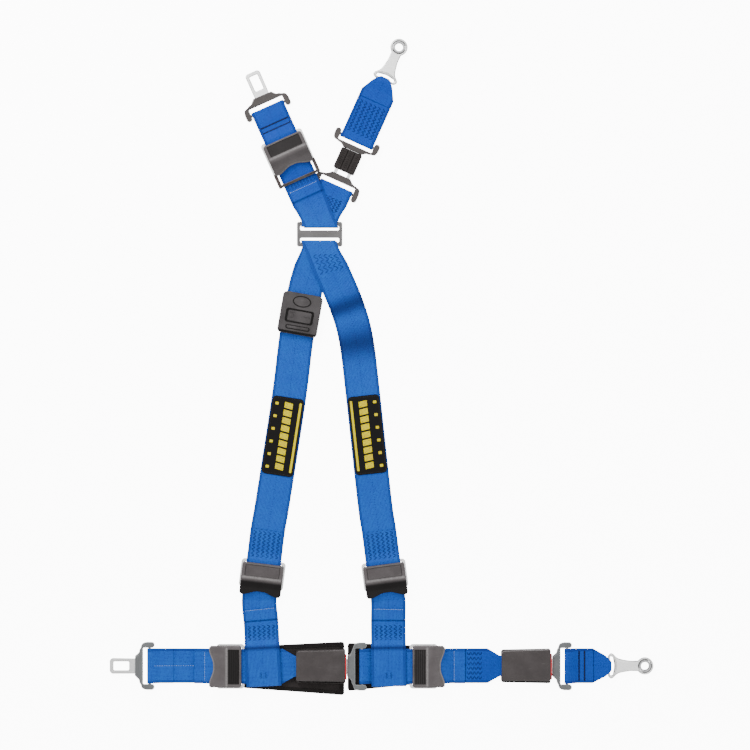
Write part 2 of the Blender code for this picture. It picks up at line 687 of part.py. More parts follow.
def buckle_bar():
    # (distance from the mouth, reach, rise) of the bar that the webbing wraps
    bar_u = -HOUSING_LENGTH + HOUSING_WALL + 0.6 + GAP + CHANNEL_BAR / 2
    return -bar_u, CHANNEL_BAR / 2 + GAP + WEB_THICK / 2, CHANNEL_RISE


def link_block(place):
    # the lock block between the link's two frames; u runs up the arm from its low end
    half = BLOCK_WIDTH / 2
    low = -LINK_Z
    body = plate_mesh([box_outline(0.0, BLOCK_LENGTH, half, 2.5)], low, low + BLOCK_HEIGHT)
    block = add("link_block", body, place, "black_plastic")
    soften(block, 0.8)
    slot = BLADE_THICK / 2 + GAP
    blade_half = BLADE_WIDTH / 2 + GAP
    combine(
        block,
        box_mesh((BLOCK_LENGTH - LINK_BLADE - 0.5, -blade_half, -slot), (BLOCK_LENGTH + 5, blade_half, slot)),
    )
    for side in (-1, 1):
        v = side * PRONG_SPREAD
        reach = PRONG_WIDTH / 2 + GAP
        combine(block, box_mesh((-5, v - reach, -slot), (PRONG_DEPTH + GAP, v + reach, slot)))


def link_low_frame(place):
    # the link's lower frame: web bar, slot and body, with two prongs into the block
    half = WEB_WIDTH / 2 + 1.2
    length = LINK_BLOCK - PRONG_GAP - LINK_BAR_LOW - TONGUE_BODY_START
    outline = mould_outline(TONGUE_BODY_START, length, TONGUE_LOBE + 3.0)
    frame = add("link_low_frame", plate_mesh([outline], -TONGUE_RING / 2, TONGUE_RING / 2), place, "black_plastic")
    combine(frame, box_mesh((-TONGUE_LOBE - 9, -half, -9), (TONGUE_BODY_START, half, 9)))
    combine(frame, rod_mesh((0, 0, 0), TONGUE_BAR_RADIUS, -half - 3, half + 3, 1, 12), "UNION")
    end = TONGUE_BODY_START + length
    for side in (-1, 1):
        v = side * PRONG_SPREAD
        prong = box_mesh(
            (end - 2, v - PRONG_WIDTH / 2, -BLADE_THICK / 2),
            (end + PRONG_GAP + PRONG_DEPTH, v + PRONG_WIDTH / 2, BLADE_THICK / 2),
        )
        combine(frame, prong, "UNION")


def yoke():
    half, slot = YOKE_WIDTH / 2, YOKE_SLOT_WIDTH / 2
    mid = YOKE_MID_BAR / 2
    top, low = mid + YOKE_SLOT + YOKE_TOP_BAR, -mid - YOKE_SLOT - YOKE_LOW_BAR
    outline = [(-half, low, 3.0), (half, low, 3.0), (half, top, 3.0), (-half, top, 3.0)]
    holes = [
        [(-slot, y, 2.0), (slot, y, 2.0), (slot, y + YOKE_SLOT, 2.0), (-slot, y + YOKE_SLOT, 2.0)]
        for y in (mid, -mid - YOKE_SLOT)
    ]
    place = empty_at("yoke_place", YOKE_X, YOKE_Y, YOKE_Z)
    add("yoke_slide", plate_mesh([outline, *holes], -YOKE_THICK / 2, YOKE_THICK / 2), place, "grey_mould")


def yoke_bar(upper):
    # (its centre's distance from the yoke's middle, half its height)
    bar = YOKE_TOP_BAR if upper else YOKE_LOW_BAR
    return YOKE_MID_BAR / 2 + YOKE_SLOT + bar / 2, bar / 2


def slant_reach(bar_half, outer):
    # how far past a yoke bar's centre a slanted strap turns, along the strap
    return (bar_half + GAP + WEB_THICK / 2 + (PITCH if outer else 0.0)) / math.cos(math.radians(ARM_ANGLE))


def label_block():
    place = empty_at("label_place", LABEL_X, LABEL_Y, 0.0, -LABEL_TURN)
    half, long = LABEL_WIDTH / 2, LABEL_LENGTH / 2
    body = [(-half, -long, 6.0), (half, -long, 6.0), (half, long, 6.0), (-half, long, 6.0)]
    block = add("label_block", plate_mesh([body], 0.0, LABEL_HEIGHT), place, "black_plastic")
    soften(block, 1.5)
    slot_half = WEB_WIDTH / 2 + 1.0
    top = LABEL_FLOOR + 2 * GAP + WEB_THICK + 0.4
    combine(block, box_mesh((-slot_half, -long - 5, LABEL_FLOOR), (slot_half, long + 5, top)))
    panel = [(-20.0, -17.0, 3.0), (20.0, -17.0, 3.0), (20.0, 9.0, 3.0), (-20.0, 9.0, 3.0)]
    combine(block, plate_mesh([panel], LABEL_HEIGHT - 0.9, LABEL_HEIGHT + 5))


def patch(side, points):
    # a flat patch lying on the middle of its strap's long straight run
    (ax, ay), (bx, by) = points[-2:]
    share = 0.38 if side == "left" else 0.375
    x, y = ax + (bx - ax) * share, ay + (by - ay) * share
    turn = math.degrees(math.atan2(by - ay, bx - ax))
    place = empty_at("patch_place_" + side, x, y, 0.0, turn)
    low = WEB_THICK + GAP
    outline = box_outline(-PATCH_LENGTH / 2, PATCH_LENGTH / 2, PATCH_WIDTH / 2, PATCH_CORNER)
    add("patch_" + side, plate_mesh([outline], low, low + PATCH_THICK), place, "patch")


def pads():
    outlines = {
        "pad_left": ((-200.0, -401.7), (-53.5, -394.5), (-53.5, -472.3), (-200.0, -461.6)),
        "pad_right": ((-49.0, -396.4), (43.7, -399.9), (43.7, -456.9), (-49.0, -466.1)),
    }
    for name, points in outlines.items():
        loop = [(x, y, 4.0) for x, y in points]
        add(name, plate_mesh([loop], 0.0, PAD_THICK), None, "pad")


def ends(point, turn, distance):
    # the point at a distance along the direction turned from +Y towards -X
    a = math.radians(turn)
    return (point[0] - math.sin(a) * distance, point[1] + math.cos(a) * distance)


def shoulder(side, points, front):
    # one shoulder: its strap from the yoke, its adjuster, and the web down to the lap
    seat = SHOULDERS[side]
    turn = -seat["turn"]
    slide = ends(seat["cover"], turn, -(LEVER_FREE + LEVER_END) / 2)
    adjuster("shoulder_" + side, empty_at("adjuster_" + side, *slide, LOW_Z, 90.0 + turn))
    bar_y, bar_half = yoke_bar(False)
    start = (YOKE_X + (0.6 if side == "right" else 0.0), YOKE_Y - bar_y)
    fixed = ends(slide, turn, FIXED_BAR_U)
    route = Route(
        [start, *points, ends(slide, turn, FIXED_BAR_U + 46.0), fixed],
        ((10.0, YOKE_BUNCH), (34.0, WEB_WIDTH)),
        (16.0, 60.0),
    )
    top = YOKE_OUTER if front else YOKE_INNER
    rise = top - YOKE_Z
    reach = slant_reach(bar_half, front)
    corners = [(YOKE_RETURN, YOKE_Z - rise, 0.0)]
    corners += fold(0.0, YOKE_Z, reach, rise, -1, 1, PITCH if front else 0.0)
    inside = LABEL_FLOOR + GAP + 0.2 + WEB_THICK / 2
    if front:
        over = inside + PITCH + GAP
        corners += [(30.0, top, 20.0), (64.0, over, 20.0), (84.0, over, 20.0), (106.0, SINGLE, 20.0)]
    else:
        block = (start[1] - LABEL_Y) / math.cos(math.radians(17.0))
        half = LABEL_LENGTH / 2 + 2.0
        corners += [(14.0, top, 20.0), (52.0, inside, 20.0), (block + half, inside, 20.0)]
        corners += [(block + half + 22.0, SINGLE, 20.0)]
    bail = route.length
    rise = FIXED_RISE
    low = LOW_Z - rise
    corners += [(bail - 16.0, SINGLE, 8.0), (bail - 4.0, low, 4.0)]
    corners += fold(bail, LOW_Z, FRAME_BAR / 2 + GAP + WEB_THICK / 2, rise, 1)
    corners += [(bail - 2.5, LOW_Z + rise, 4.0), (bail - 14.0, DOUBLE, 8.0), (bail - 45.0, DOUBLE, 0.0)]
    web_strip("web_shoulder_" + side, route, corners)

    lap = (seat["loop_x"], LAP_Y)
    route = Route(
        [lap, (seat["waist_x"], -369.0), ends(slide, turn, -34.0), slide]
    )
    edge = WEB_WIDTH / 2 + GAP + WEB_THICK / 2 + 2.0
    turn_z, turn_rise = (LOOP_FRONT + LOOP_BACK) / 2, (LOOP_FRONT - LOOP_BACK) / 2
    long = route.length
    corners = [(64.0, DOUBLE, 0.0), (42.0, DOUBLE, 8.0), (edge + 1.5, LOOP_FRONT, 6.0)]
    corners += fold(0.0, turn_z, edge, turn_rise, -1, -1)
    corners += [(edge + 6.0, LOOP_BACK, 8.0), (46.0, SINGLE, 8.0), (long - 14.0, SINGLE, 8.0)]
    corners += fold(long, LOW_Z, SLIDE_RISE, SLIDE_RISE, 1)
    corners += tail(long, LOW_Z + SLIDE_RISE, long - 34.0, DOUBLE, 66.5, -1)
    web_strip("web_shoulder_lower_" + side, route, corners)


def upper_left(place):
    # the front upper arm: strap, keeper adjuster, link strap and tongue
    bar_y, bar_half = yoke_bar(True)
    route = Route([(0.0, 0.0), (300.0, 0.0)], square=None)
    adjuster("upper", empty_at("adjuster_upper", KEEPER_ARM_SLIDE, 0.0, KEEPER_Z, 0.0, place), keeper=True)
    rise = YOKE_OUTER - YOKE_Z
    reach = slant_reach(bar_half, True)
    slide = KEEPER_ARM_SLIDE
    corners = [(YOKE_RETURN, YOKE_Z - rise, 0.0)]
    corners += fold(0.0, YOKE_Z, reach, rise, -1, 1, PITCH)
    corners += fold(slide, KEEPER_Z, SLIDE_RISE, SLIDE_RISE, 1)
    rest = YOKE_OUTER + PITCH
    corners += [(slide - 8.0, KEEPER_Z + SLIDE_RISE, 6.0), (slide - 34.0, CROSS_Z + PITCH, 8.0)]
    corners += [(43.4, rest, PITCH * 0.49)]
    corners += [(43.4, rest + PITCH, PITCH * 0.49), (43.4 + HEM, rest + PITCH, 0.0)]
    web_strip("web_upper_adjust", arm_route(-1), corners)
    tongue("upper_tongue", empty_at("upper_tongue_place", UPPER_TONGUE_BAR, 0, LOW_Z, 0, place),
           TONGUE_BODY_START, TONGUE_BODY, BLADE_LENGTH)
    bail = slide + FIXED_BAR_U
    first = (bail, KEEPER_Z, FRAME_BAR / 2 + GAP + WEB_THICK / 2, FIXED_RISE)
    last = (UPPER_TONGUE_BAR, LOW_Z, TONGUE_RISE, TONGUE_RISE)
    middle = (KEEPER_Z + LOW_Z) / 2
    band("web_upper_link", route, first, last, middle - 1.0, middle - 1.0 + PITCH, bail + 17.5, 15.0, place)


def arm_route(side):
    # along an upper arm from the yoke's top bar, with rows along the bar at its start
    bar_y, _ = yoke_bar(True)
    start = (YOKE_X, YOKE_Y + bar_y)
    widths = ((10.0, YOKE_BUNCH), (34.0, WEB_WIDTH))
    return Route([start, ends(start, -side * ARM_ANGLE, 150.0)], widths, (16.0, 42.0))


def upper_right(place):
    # the back upper arm: yoke loop, link, anchor strap and eye plate
    bar_y, bar_half = yoke_bar(True)
    first = (0.0, YOKE_Z, slant_reach(bar_half, False), YOKE_RISE)
    last = (LINK_BAR_LOW, LINK_Z, TONGUE_RISE, TONGUE_RISE)
    band("web_upper_yoke", arm_route(1), first, last, SINGLE + 0.1, YOKE_INNER, 45.0, 10.0, under=True, hold=24.0)
    link_low_frame(empty_at("link_low_place", LINK_BAR_LOW, 0, LINK_Z, 0, place))
    link_block(empty_at("link_block_place", LINK_BLOCK, 0, LINK_Z, 0, place))
    tongue("link_tongue", empty_at("link_tongue_place", LINK_BAR_HIGH, 0, LINK_Z, 180, place),
           LINK_BODY_START, LINK_BODY, LINK_BLADE, window=False, mould="black_plastic")
    eye = UPPER_EYE - EYE_REACH
    eye_plate("upper_eye", empty_at("upper_eye_place", eye, 0, LOW_Z, 0, place))
    widths = ((eye - 23.0, WEB_WIDTH), (eye - 2.0, EYE_NARROW))
    route = Route([(0.0, 0.0), (300.0, 0.0)], widths)
    first = (LINK_BAR_HIGH, LINK_Z, TONGUE_RISE, TONGUE_RISE)
    last = (eye, LOW_Z, EYE_BAR / 2 + GAP + WEB_THICK / 2 + 0.6, EYE_RISE)
    band("web_upper_anchor", route, first, last, SINGLE, DOUBLE, eye - 34.0, 14.0, place)


def lap():
    # the lap line from the left tongue to the right eye plate
    bar_u, bar_reach, bar_rise = buckle_bar()
    fixed_reach = FRAME_BAR / 2 + GAP + WEB_THICK / 2
    tongue("left_tongue", empty_at("left_tongue_place", LEFT_TONGUE_X, LAP_Y, LOW_Z, 180),
           TONGUE_BODY_START, TONGUE_BODY, BLADE_LENGTH)
    adjuster("lap_left", empty_at("adjuster_lap_left", LEFT_ADJUST_X, LAP_Y, LAP_ADJUST_Z))
    adjuster("lap_right", empty_at("adjuster_lap_right", RIGHT_ADJUST_X, LAP_Y, LAP_ADJUST_Z, 180))
    buckle("centre_buckle", empty_at("centre_buckle_place", CENTRE_MOUTH_X, LAP_Y, CENTRE_Z))
    buckle("right_buckle", empty_at("right_buckle_place", RIGHT_MOUTH_X, LAP_Y, RIGHT_Z))
    reach = MOUTH_GAP + TONGUE_BODY_START + TONGUE_BODY
    centre_bar, right_bar = CENTRE_MOUTH_X + reach, RIGHT_MOUTH_X + reach
    tongue("centre_tongue", empty_at("centre_tongue_place", centre_bar, LAP_Y, CENTRE_Z, 180),
           TONGUE_BODY_START, TONGUE_BODY, BLADE_LENGTH)
    tongue("right_tongue", empty_at("right_tongue_place", right_bar, LAP_Y, RIGHT_Z, 180),
           TONGUE_BODY_START, TONGUE_BODY, BLADE_LENGTH)
    eye = RIGHT_EYE_X - EYE_REACH
    eye_plate("right_eye", empty_at("right_eye_place", eye, LAP_Y, LOW_Z))

    def line(widths=((0.0, WEB_WIDTH),)):
        return Route([(-400.0, LAP_Y), (400.0, LAP_Y)], widths, start=-400.0)

    # left end web: sewn round the tongue's bar, up to the slide bar, and its tail back
    slide, low = LEFT_ADJUST_X, LAP_ADJUST_Z
    corners = [(LEFT_TONGUE_X + 34.0, DOUBLE, 0.0), (LEFT_TONGUE_X + 14.0, DOUBLE, 6.0)]
    corners += [(LEFT_TONGUE_X + 1.0, LOW_Z + TONGUE_RISE, 4.0)]
    corners += fold(LEFT_TONGUE_X, LOW_Z, TONGUE_RISE, TONGUE_RISE, -1, -1)
    corners += [(slide - 44.0, SINGLE, 12.0), (slide - 14.0, low - SLIDE_RISE, 12.0)]
    corners += fold(slide, low, SLIDE_RISE, SLIDE_RISE, 1)
    corners += tail(slide, low + SLIDE_RISE, slide - 40.0, DOUBLE + 1.4, -269.0, -1)
    web_strip("web_lap_left_end", line(), corners)

    bar = CENTRE_MOUTH_X - bar_u
    fixed = LEFT_ADJUST_X + FIXED_BAR_U
    widths = ((bar - 24.0, WEB_WIDTH), (bar - 6.0, NARROW))
    first = (fixed, LAP_ADJUST_Z, fixed_reach, FIXED_RISE)
    last = (bar, CENTRE_Z + CHANNEL_Z, bar_reach, bar_rise)
    band("web_lap_left_inner", line(widths), first, last, BAND_LOW, BAND_HIGH, bar - 28.0, 12.0)

    fixed = RIGHT_ADJUST_X - FIXED_BAR_U
    first = (centre_bar, CENTRE_Z, TONGUE_RISE, TONGUE_RISE)
    last = (fixed, LAP_ADJUST_Z, fixed_reach, FIXED_RISE)
    band("web_lap_right_inner", line(), first, last, BAND_LOW, BAND_HIGH, centre_bar + 20.0, 12.0)

    # right outer web: sewn round the buckle's bar, down to the slide bar, and its tail back
    bar, z = RIGHT_MOUTH_X - bar_u, RIGHT_Z + CHANNEL_Z
    slide = RIGHT_ADJUST_X
    widths = ((bar - 24.0, WEB_WIDTH), (bar - 6.0, NARROW))
    corners = [(121.5, DOUBLE, 0.0), (bar - 14.0, DOUBLE, 6.0), (bar - 2.0, z + bar_rise, 4.0)]
    corners += fold(bar, z, bar_reach, bar_rise, 1, -1)
    corners += [(bar - 2.0, z - bar_rise, 4.0), (bar - 14.0, SINGLE, 6.0), (slide + 44.0, SINGLE, 12.0)]
    corners += [(slide + 14.0, low - SLIDE_RISE, 12.0)]
    corners += fold(slide, low, SLIDE_RISE, SLIDE_RISE, -1)
    corners += tail(slide, low + SLIDE_RISE, slide + 37.0, DOUBLE + 1.0, 120.0, 1)
    web_strip("web_lap_right_outer", line(widths), corners)

    widths = ((eye - 23.0, WEB_WIDTH), (eye - 2.0, EYE_NARROW))
    first = (right_bar, RIGHT_Z, TONGUE_RISE, TONGUE_RISE)
    last = (eye, LOW_Z, EYE_BAR / 2 + GAP + WEB_THICK / 2 + 0.6, EYE_RISE)
    band("web_lap_anchor", line(widths), first, last, SINGLE, DOUBLE, eye - 22.0, 14.0)


def centre_on_floor():
    # the origin is the middle of the laid-out harness, on the floor
    bpy.context.view_layer.update()
    graph = bpy.context.evaluated_depsgraph_get()
    corners = []
    for obj in PARTS.objects:
        if obj.type == "MESH":
            found = obj.evaluated_get(graph)
            corners += [found.matrix_world @ vertex.co for vertex in found.data.vertices]
    corners = np.array(corners)
    low, high = corners.min(0), corners.max(0)
    ROOT.location = (-(low[0] + high[0]) / 2, -(low[1] + high[1]) / 2, -low[2])


clear_scene()
PARTS = collection("racing_harness")
CUTTERS = collection("cutters")
MATS = make_materials()
ROOT = bpy.data.objects.new("harness", None)
PARTS.objects.link(ROOT)

yoke()
label_block()
pads()
for which, strap in (("left", LEFT_STRAP), ("right", RIGHT_STRAP)):
    shoulder(which, strap, which == "right")
    patch(which, strap)
top_bar = YOKE_Y + yoke_bar(True)[0]
upper_left(empty_at("arm_left", YOKE_X, top_bar, 0.0, 90.0 + ARM_ANGLE))
upper_right(empty_at("arm_right", YOKE_X, top_bar, 0.0, 90.0 - ARM_ANGLE))
lap()
centre_on_floor()
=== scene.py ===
import json
import math

import bmesh
import bpy
import numpy as np
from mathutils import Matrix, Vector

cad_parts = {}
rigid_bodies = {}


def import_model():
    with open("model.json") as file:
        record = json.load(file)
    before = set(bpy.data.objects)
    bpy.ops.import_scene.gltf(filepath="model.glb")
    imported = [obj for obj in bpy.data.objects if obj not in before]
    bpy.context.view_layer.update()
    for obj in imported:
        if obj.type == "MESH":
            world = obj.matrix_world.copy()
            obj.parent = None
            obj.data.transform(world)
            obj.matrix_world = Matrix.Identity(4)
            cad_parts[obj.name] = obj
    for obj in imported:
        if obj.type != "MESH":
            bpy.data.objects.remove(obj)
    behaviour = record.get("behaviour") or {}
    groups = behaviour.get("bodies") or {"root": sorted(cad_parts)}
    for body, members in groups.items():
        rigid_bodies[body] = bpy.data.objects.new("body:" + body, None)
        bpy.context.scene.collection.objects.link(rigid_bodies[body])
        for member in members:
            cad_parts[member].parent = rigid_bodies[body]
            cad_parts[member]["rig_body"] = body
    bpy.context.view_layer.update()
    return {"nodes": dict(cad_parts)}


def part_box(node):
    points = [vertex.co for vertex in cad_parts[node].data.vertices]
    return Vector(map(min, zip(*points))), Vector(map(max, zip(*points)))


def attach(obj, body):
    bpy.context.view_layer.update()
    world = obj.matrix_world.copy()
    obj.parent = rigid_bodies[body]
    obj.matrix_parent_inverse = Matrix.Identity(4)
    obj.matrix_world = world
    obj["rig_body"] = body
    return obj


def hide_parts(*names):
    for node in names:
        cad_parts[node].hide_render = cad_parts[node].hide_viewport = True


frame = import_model()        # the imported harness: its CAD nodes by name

# Lengths below are millimetres. Angles are degrees from +X. A piece's own frame is
# u along it, v across it and z up; lay() puts it in its place on the floor plan.
mm = 0.001
slide = {"x": -89.1, "y": 192.3, "topBar": 5.8, "slot": 6.5, "midBar": 11.0, "lowBar": 6.0,
         "thick": 2.5, "edge": 0.7, "corner": 3.0}
webbing = {"width": 50.0, "thick": 1.3, "gap": 0.3, "narrow": 29.0, "eyeNarrow": 24.0, "hem": 16.0,
           "seam": 1.0, "bunched": 45.5, "armAngle": 24.2, "arcStep": 10.0, "step": 1.5, "across": 20}
low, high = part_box("yoke_slide")
shift = np.array([(low.x + high.x) / 2 / mm - slide["x"], (low.y + high.y) / 2 / mm - slide["y"] + 0.1, 0.0])
print("frame loaded, shift", shift.round(2))


# materials: a short way to write shader nodes


class Value:
    # a shader socket; Python operators on it add Math nodes
    def __init__(self, finish, socket):
        self.finish, self.socket = finish, socket

    def __add__(self, other):
        return self.finish.maths("ADD", self, other)

    def __mul__(self, other):
        return self.finish.maths("MULTIPLY", self, other)

    def __sub__(self, other):
        return self.finish.maths("SUBTRACT", self, other)

    def __rsub__(self, other):
        return self.finish.maths("SUBTRACT", other, self)

    def __truediv__(self, other):
        return self.finish.maths("DIVIDE", self, other)

    __radd__ = __add__
    __rmul__ = __mul__


socketNames = {"colour": "Base Color", "rough": "Roughness", "normal": "Normal"}


class Finish:
    # one procedural material; node() adds any node, settings first and then its sockets
    def __init__(self, name, constants):
        self.material = bpy.data.materials.new(name)
        self.material.use_nodes = True
        self.tree = self.material.node_tree
        self.shader = self.tree.nodes["Principled BSDF"]
        for key, value in constants.items():
            self.shader.inputs[key].default_value = value

    def node(self, kind, settings=None, sockets=None, out=0):
        made = self.tree.nodes.new("ShaderNode" + kind)
        for key, value in (settings or {}).items():
            setattr(made, key, value)
        for key, value in (sockets or {}).items():
            self.feed(made.inputs[key], value)
        return Value(self, made.outputs[out])

    def feed(self, socket, value):
        if isinstance(value, Value):
            self.tree.links.new(value.socket, socket)
        else:
            socket.default_value = value

    def set(self, **sockets):
        for key, value in sockets.items():
            self.feed(self.shader.inputs[socketNames[key]], value)
        return self.material

    def mix(self, factor, first, second):
        return self.node("Mix", {"data_type": "RGBA"}, {0: factor, 6: first, 7: second}, 2)

    def noise(self, place, scale, detail=3.0):
        return self.node("TexNoise", {}, {"Vector": place, "Scale": scale, "Detail": detail, "Roughness": 0.55})

    def stretch(self, place, scale, turn=0.0):
        return self.node("Mapping", {},
                         {"Vector": place, "Scale": scale, "Rotation": (0.0, 0.0, math.radians(turn))})

    def ease(self, value, start, end, low=0.0, high=1.0):
        return self.node("MapRange", {"interpolation_type": "SMOOTHSTEP"},
                         {"Value": value, 1: start, 2: end, 3: low, 4: high})

    def maths(self, operation, first, second=0.0):
        return self.node("Math", {"operation": operation}, {0: first, 1: second})

    def parts(self, vector):
        split = self.tree.nodes.new("ShaderNodeSeparateXYZ")
        self.feed(split.inputs[0], vector)
        return [Value(self, out) for out in split.outputs]

    def bump(self, height, distance):
        return self.node("Bump", {}, {"Height": height, "Distance": distance, "Strength": 1.0})

    def attribute(self, name):
        return self.node("Attribute", {"attribute_name": name}, out="Fac")


def wave(made, value, pitch):
    # 0 to 1 and back over each pitch
    return made.maths("SINE", value / pitch * (2 * math.pi)) * 0.5 + 0.5


def colour(red, green, blue, gain=0.5):
    # a screen colour, 0 to 255, as linear shader numbers, made deeper for the bright studio
    return (*(gain * ((c / 255 + 0.055) / 1.055) ** 2.4 for c in (red, green, blue)), 1.0)


def shade(tone, share):
    return (*(c * share for c in tone[:3]), 1.0)


def webFinish():
    # ribs run along the strap; in each rib the yarns slant, one way and then the other
    web = {"rib": 2.0 * mm, "yarn": 1.35 * mm, "edge": 22.6 * mm, "base": colour(12, 92, 214, 0.78),
           "light": colour(52, 140, 240, 0.86), "deepAndShade": colour(3, 34, 120, 0.6), "grain": 0.13 * mm,
           "royal": colour(8, 48, 160, 0.8)}
    made = Finish("webbing", {"Sheen Weight": 0.06, "Sheen Roughness": 0.4,
                              "Sheen Tint": colour(90, 150, 235, 1.0),
                              "Specular IOR Level": 0.14})
    place = made.node("TexCoord", out="UV")
    across, along, _ = made.parts(place)
    column = across / web["rib"] + 40.0
    share = made.maths("FRACT", column)
    side = made.maths("MODULO", made.maths("FLOOR", column), 2.0) * 2.0 - 1.0
    phase = along / web["yarn"] + side * (share - 0.5) * 1.3
    yarn = made.maths("SINE", phase * (2 * math.pi)) * 0.5 + 0.5
    away = made.maths("ABSOLUTE", share * 2.0 - 1.0)
    rib = 1.0 - made.maths("POWER", away, 3.0)
    weave = rib * (yarn * 0.6 + 0.4)
    outer = made.maths("ABSOLUTE", across)
    border = made.ease(outer, web["edge"] - 0.5 * mm, web["edge"] + 0.3 * mm)
    groove = made.ease(made.maths("ABSOLUTE", outer - (web["edge"] - 0.7 * mm)), 0.7 * mm, 0.1 * mm)
    dash = made.ease(made.maths("SINE", along / (3.6 * mm) * (2 * math.pi)), 0.2, 0.7)
    centre = made.ease(outer, 0.9 * mm, 0.3 * mm) * dash
    body = made.node("TexCoord", out="Object")
    x, y, _ = made.parts(body)
    fringe = made.maths("MAXIMUM", made.ease(y, 0.2, 0.28),
                        made.ease(x, 0.11, 0.15) * made.ease(y, -0.3, -0.37))
    cloud = made.noise(body, 14.0, 3.0)
    patchy = made.noise(body, 90.0, 4.0)
    fleck = made.ease(made.noise(made.stretch(place, (760.0, 520.0, 1.0)), 1.0, 2.0), 0.54, 0.66)
    tone = made.mix(weave * 0.55 + 0.25, web["deepAndShade"], web["base"])
    tone = made.mix(weave * made.ease(patchy, 0.3, 0.8, 0.22, 0.4), tone, web["light"])
    tone = made.mix(made.ease(cloud, 0.35, 0.75) * 0.05, tone, web["light"])
    tone = made.mix(made.ease(cloud, 0.55, 0.25) * 0.06, tone, web["deepAndShade"])
    tone = made.mix(fringe * 0.5, tone, web["royal"])
    tone = made.mix(fleck * 0.55, tone, web["deepAndShade"])
    # painted shade: the rounded edges and the groove beside the raised selvedge are darker
    tone = made.mix(groove * 0.65, tone, web["deepAndShade"])
    tone = made.mix(border * 0.45, tone, web["deepAndShade"])
    tone = made.mix(centre * 0.6, tone, web["deepAndShade"])
    # painted shade: the strap turns dark blue where it creases
    tone = made.mix(made.attribute("creaseShade") * 0.75, tone, colour(3, 18, 80))
    height = weave + border * 0.8 - groove * 0.8 - centre * 0.5 + patchy * 0.5
    return made.set(colour=tone, rough=made.ease(patchy, 0.2, 0.8, 0.62, 0.82),
                    normal=made.bump(height, web["grain"]))


def plasticFinish(name, face, dark, wornAndHighlight, rough=0.5, grain=0.05):
    # moulded plastic: fine grain, cloudy rubbing, worn edges with a painted highlight on ridges, and painted
    # shade in deep places
    made = Finish(name, {"Specular IOR Level": 0.14})
    place = made.node("TexCoord", out="Object")
    fine = made.noise(place, 1900.0, 2.0)
    coarse = made.noise(place, 500.0, 3.0)
    cloud = made.noise(place, 45.0, 4.0)
    scratch = made.ease(made.noise(made.stretch(place, (60.0, 1500.0, 60.0), 35.0), 1.0, 3.0), 0.66, 0.72)
    tone = made.mix(made.ease(cloud, 0.3, 0.75), dark, face)
    tone = made.mix(scratch * 0.25, tone, wornAndHighlight)
    # painted highlight and wear: this mark lightens ridges and rubbed edges of the lever covers
    tone = made.mix(made.attribute("wornAndHighlight") * made.ease(coarse, 0.3, 0.6, 0.45, 1.0), tone, wornAndHighlight)
    # painted shade: this mark darkens recesses, falls, skirts and undersides of the lever covers
    tone = made.mix(made.attribute("deepAndShade") * 0.95, tone, colour(16, 12, 12))
    height = fine * 0.7 + coarse * 0.6 - scratch * 0.4
    return made.set(colour=tone, rough=made.ease(cloud, 0.25, 0.8, rough - 0.08, rough + 0.12),
             normal=made.bump(height, grain * mm))


def metalFinish(name, face, rim, turn=0.0, rough=0.3):
    # brushed along turn; the rolled edges, which face sideways, are painted darker than the faces: painted
    # shade
    made = Finish(name, {"Metallic": 1.0})
    place = made.node("TexCoord", out="Object")
    brushed = made.noise(made.stretch(place, (90.0, 2600.0, 90.0), -turn), 1.0, 3.0)
    cloud = made.noise(place, 60.0, 3.0)
    pit = made.ease(made.noise(place, 900.0, 2.0), 0.66, 0.74)
    facing = made.maths("ABSOLUTE", made.parts(made.node("TexCoord", out="Normal"))[2])
    side = made.ease(facing, 0.985, 0.88)
    tone = made.mix(made.ease(brushed, 0.3, 0.7) * 0.35, face, shade(face, 0.8))
    tone = made.mix(made.ease(cloud, 0.4, 0.7) * 0.18, tone, shade(face, 0.7))
    tone = made.mix(pit * 0.25, tone, rim)
    # painted shade: rims that face sideways take the dark rim colour
    tone = made.mix(side, tone, rim)
    return made.set(colour=tone, rough=made.ease(brushed, 0.3, 0.7, rough - 0.06, rough + 0.1),
             normal=made.bump(brushed + cloud * 0.5 - pit, 0.02 * mm))


def mouldFinish(name, face, rim):
    # satin moulding with fine grain, a painted highlight on the rounded rim and painted shade on steep walls
    made = Finish(name, {"Specular IOR Level": 0.25})
    place = made.node("TexCoord", out="Object")
    fine = made.noise(place, 1500.0, 2.0)
    cloud = made.noise(place, 70.0, 4.0)
    facing = made.maths("ABSOLUTE", made.parts(made.node("TexCoord", out="Normal"))[2])
    side = made.ease(made.maths("ABSOLUTE", facing - 0.78), 0.2, 0.02)
    wall = made.ease(facing, 0.5, 0.15)
    tone = made.mix(made.ease(cloud, 0.3, 0.7), face, shade(face, 0.82))
    # painted highlight on the sloping rim
    tone = made.mix(side * 0.75, tone, rim)
    # painted shade on the steep walls
    tone = made.mix(wall * 0.95, tone, shade(face, 0.12))
    return made.set(colour=tone, rough=made.ease(cloud, 0.3, 0.7, 0.42, 0.58),
                    normal=made.bump(fine, 0.04 * mm))


def padFinish():
    # a dark woven mesh over thin foam, with pale fluff
    made = Finish("padCloth", {"Sheen Weight": 0.15, "Sheen Roughness": 0.5, "Specular IOR Level": 0.12})
    place = made.node("TexCoord", out="Object")
    x, y, _ = made.parts(place)
    warp = wave(made, x, 1.1 * mm)
    weft = wave(made, y, 1.1 * mm)
    weave = made.maths("MAXIMUM", warp * (1.0 - weft), weft * (1.0 - warp))
    cloud = made.noise(place, 30.0, 4.0)
    fluff = made.ease(made.noise(place, 700.0, 3.0), 0.6, 0.75)
    tone = made.mix(weave * 0.6, colour(34, 30, 30), colour(74, 68, 66))
    tone = made.mix(made.ease(cloud, 0.35, 0.7) * 0.5, tone, colour(66, 60, 60))
    tone = made.mix(fluff * 0.3, tone, colour(110, 104, 100))
    return made.set(colour=tone, rough=made.ease(cloud, 0.3, 0.7, 0.78, 0.92),
                    normal=made.bump(weave + fluff * 0.6, 0.12 * mm))


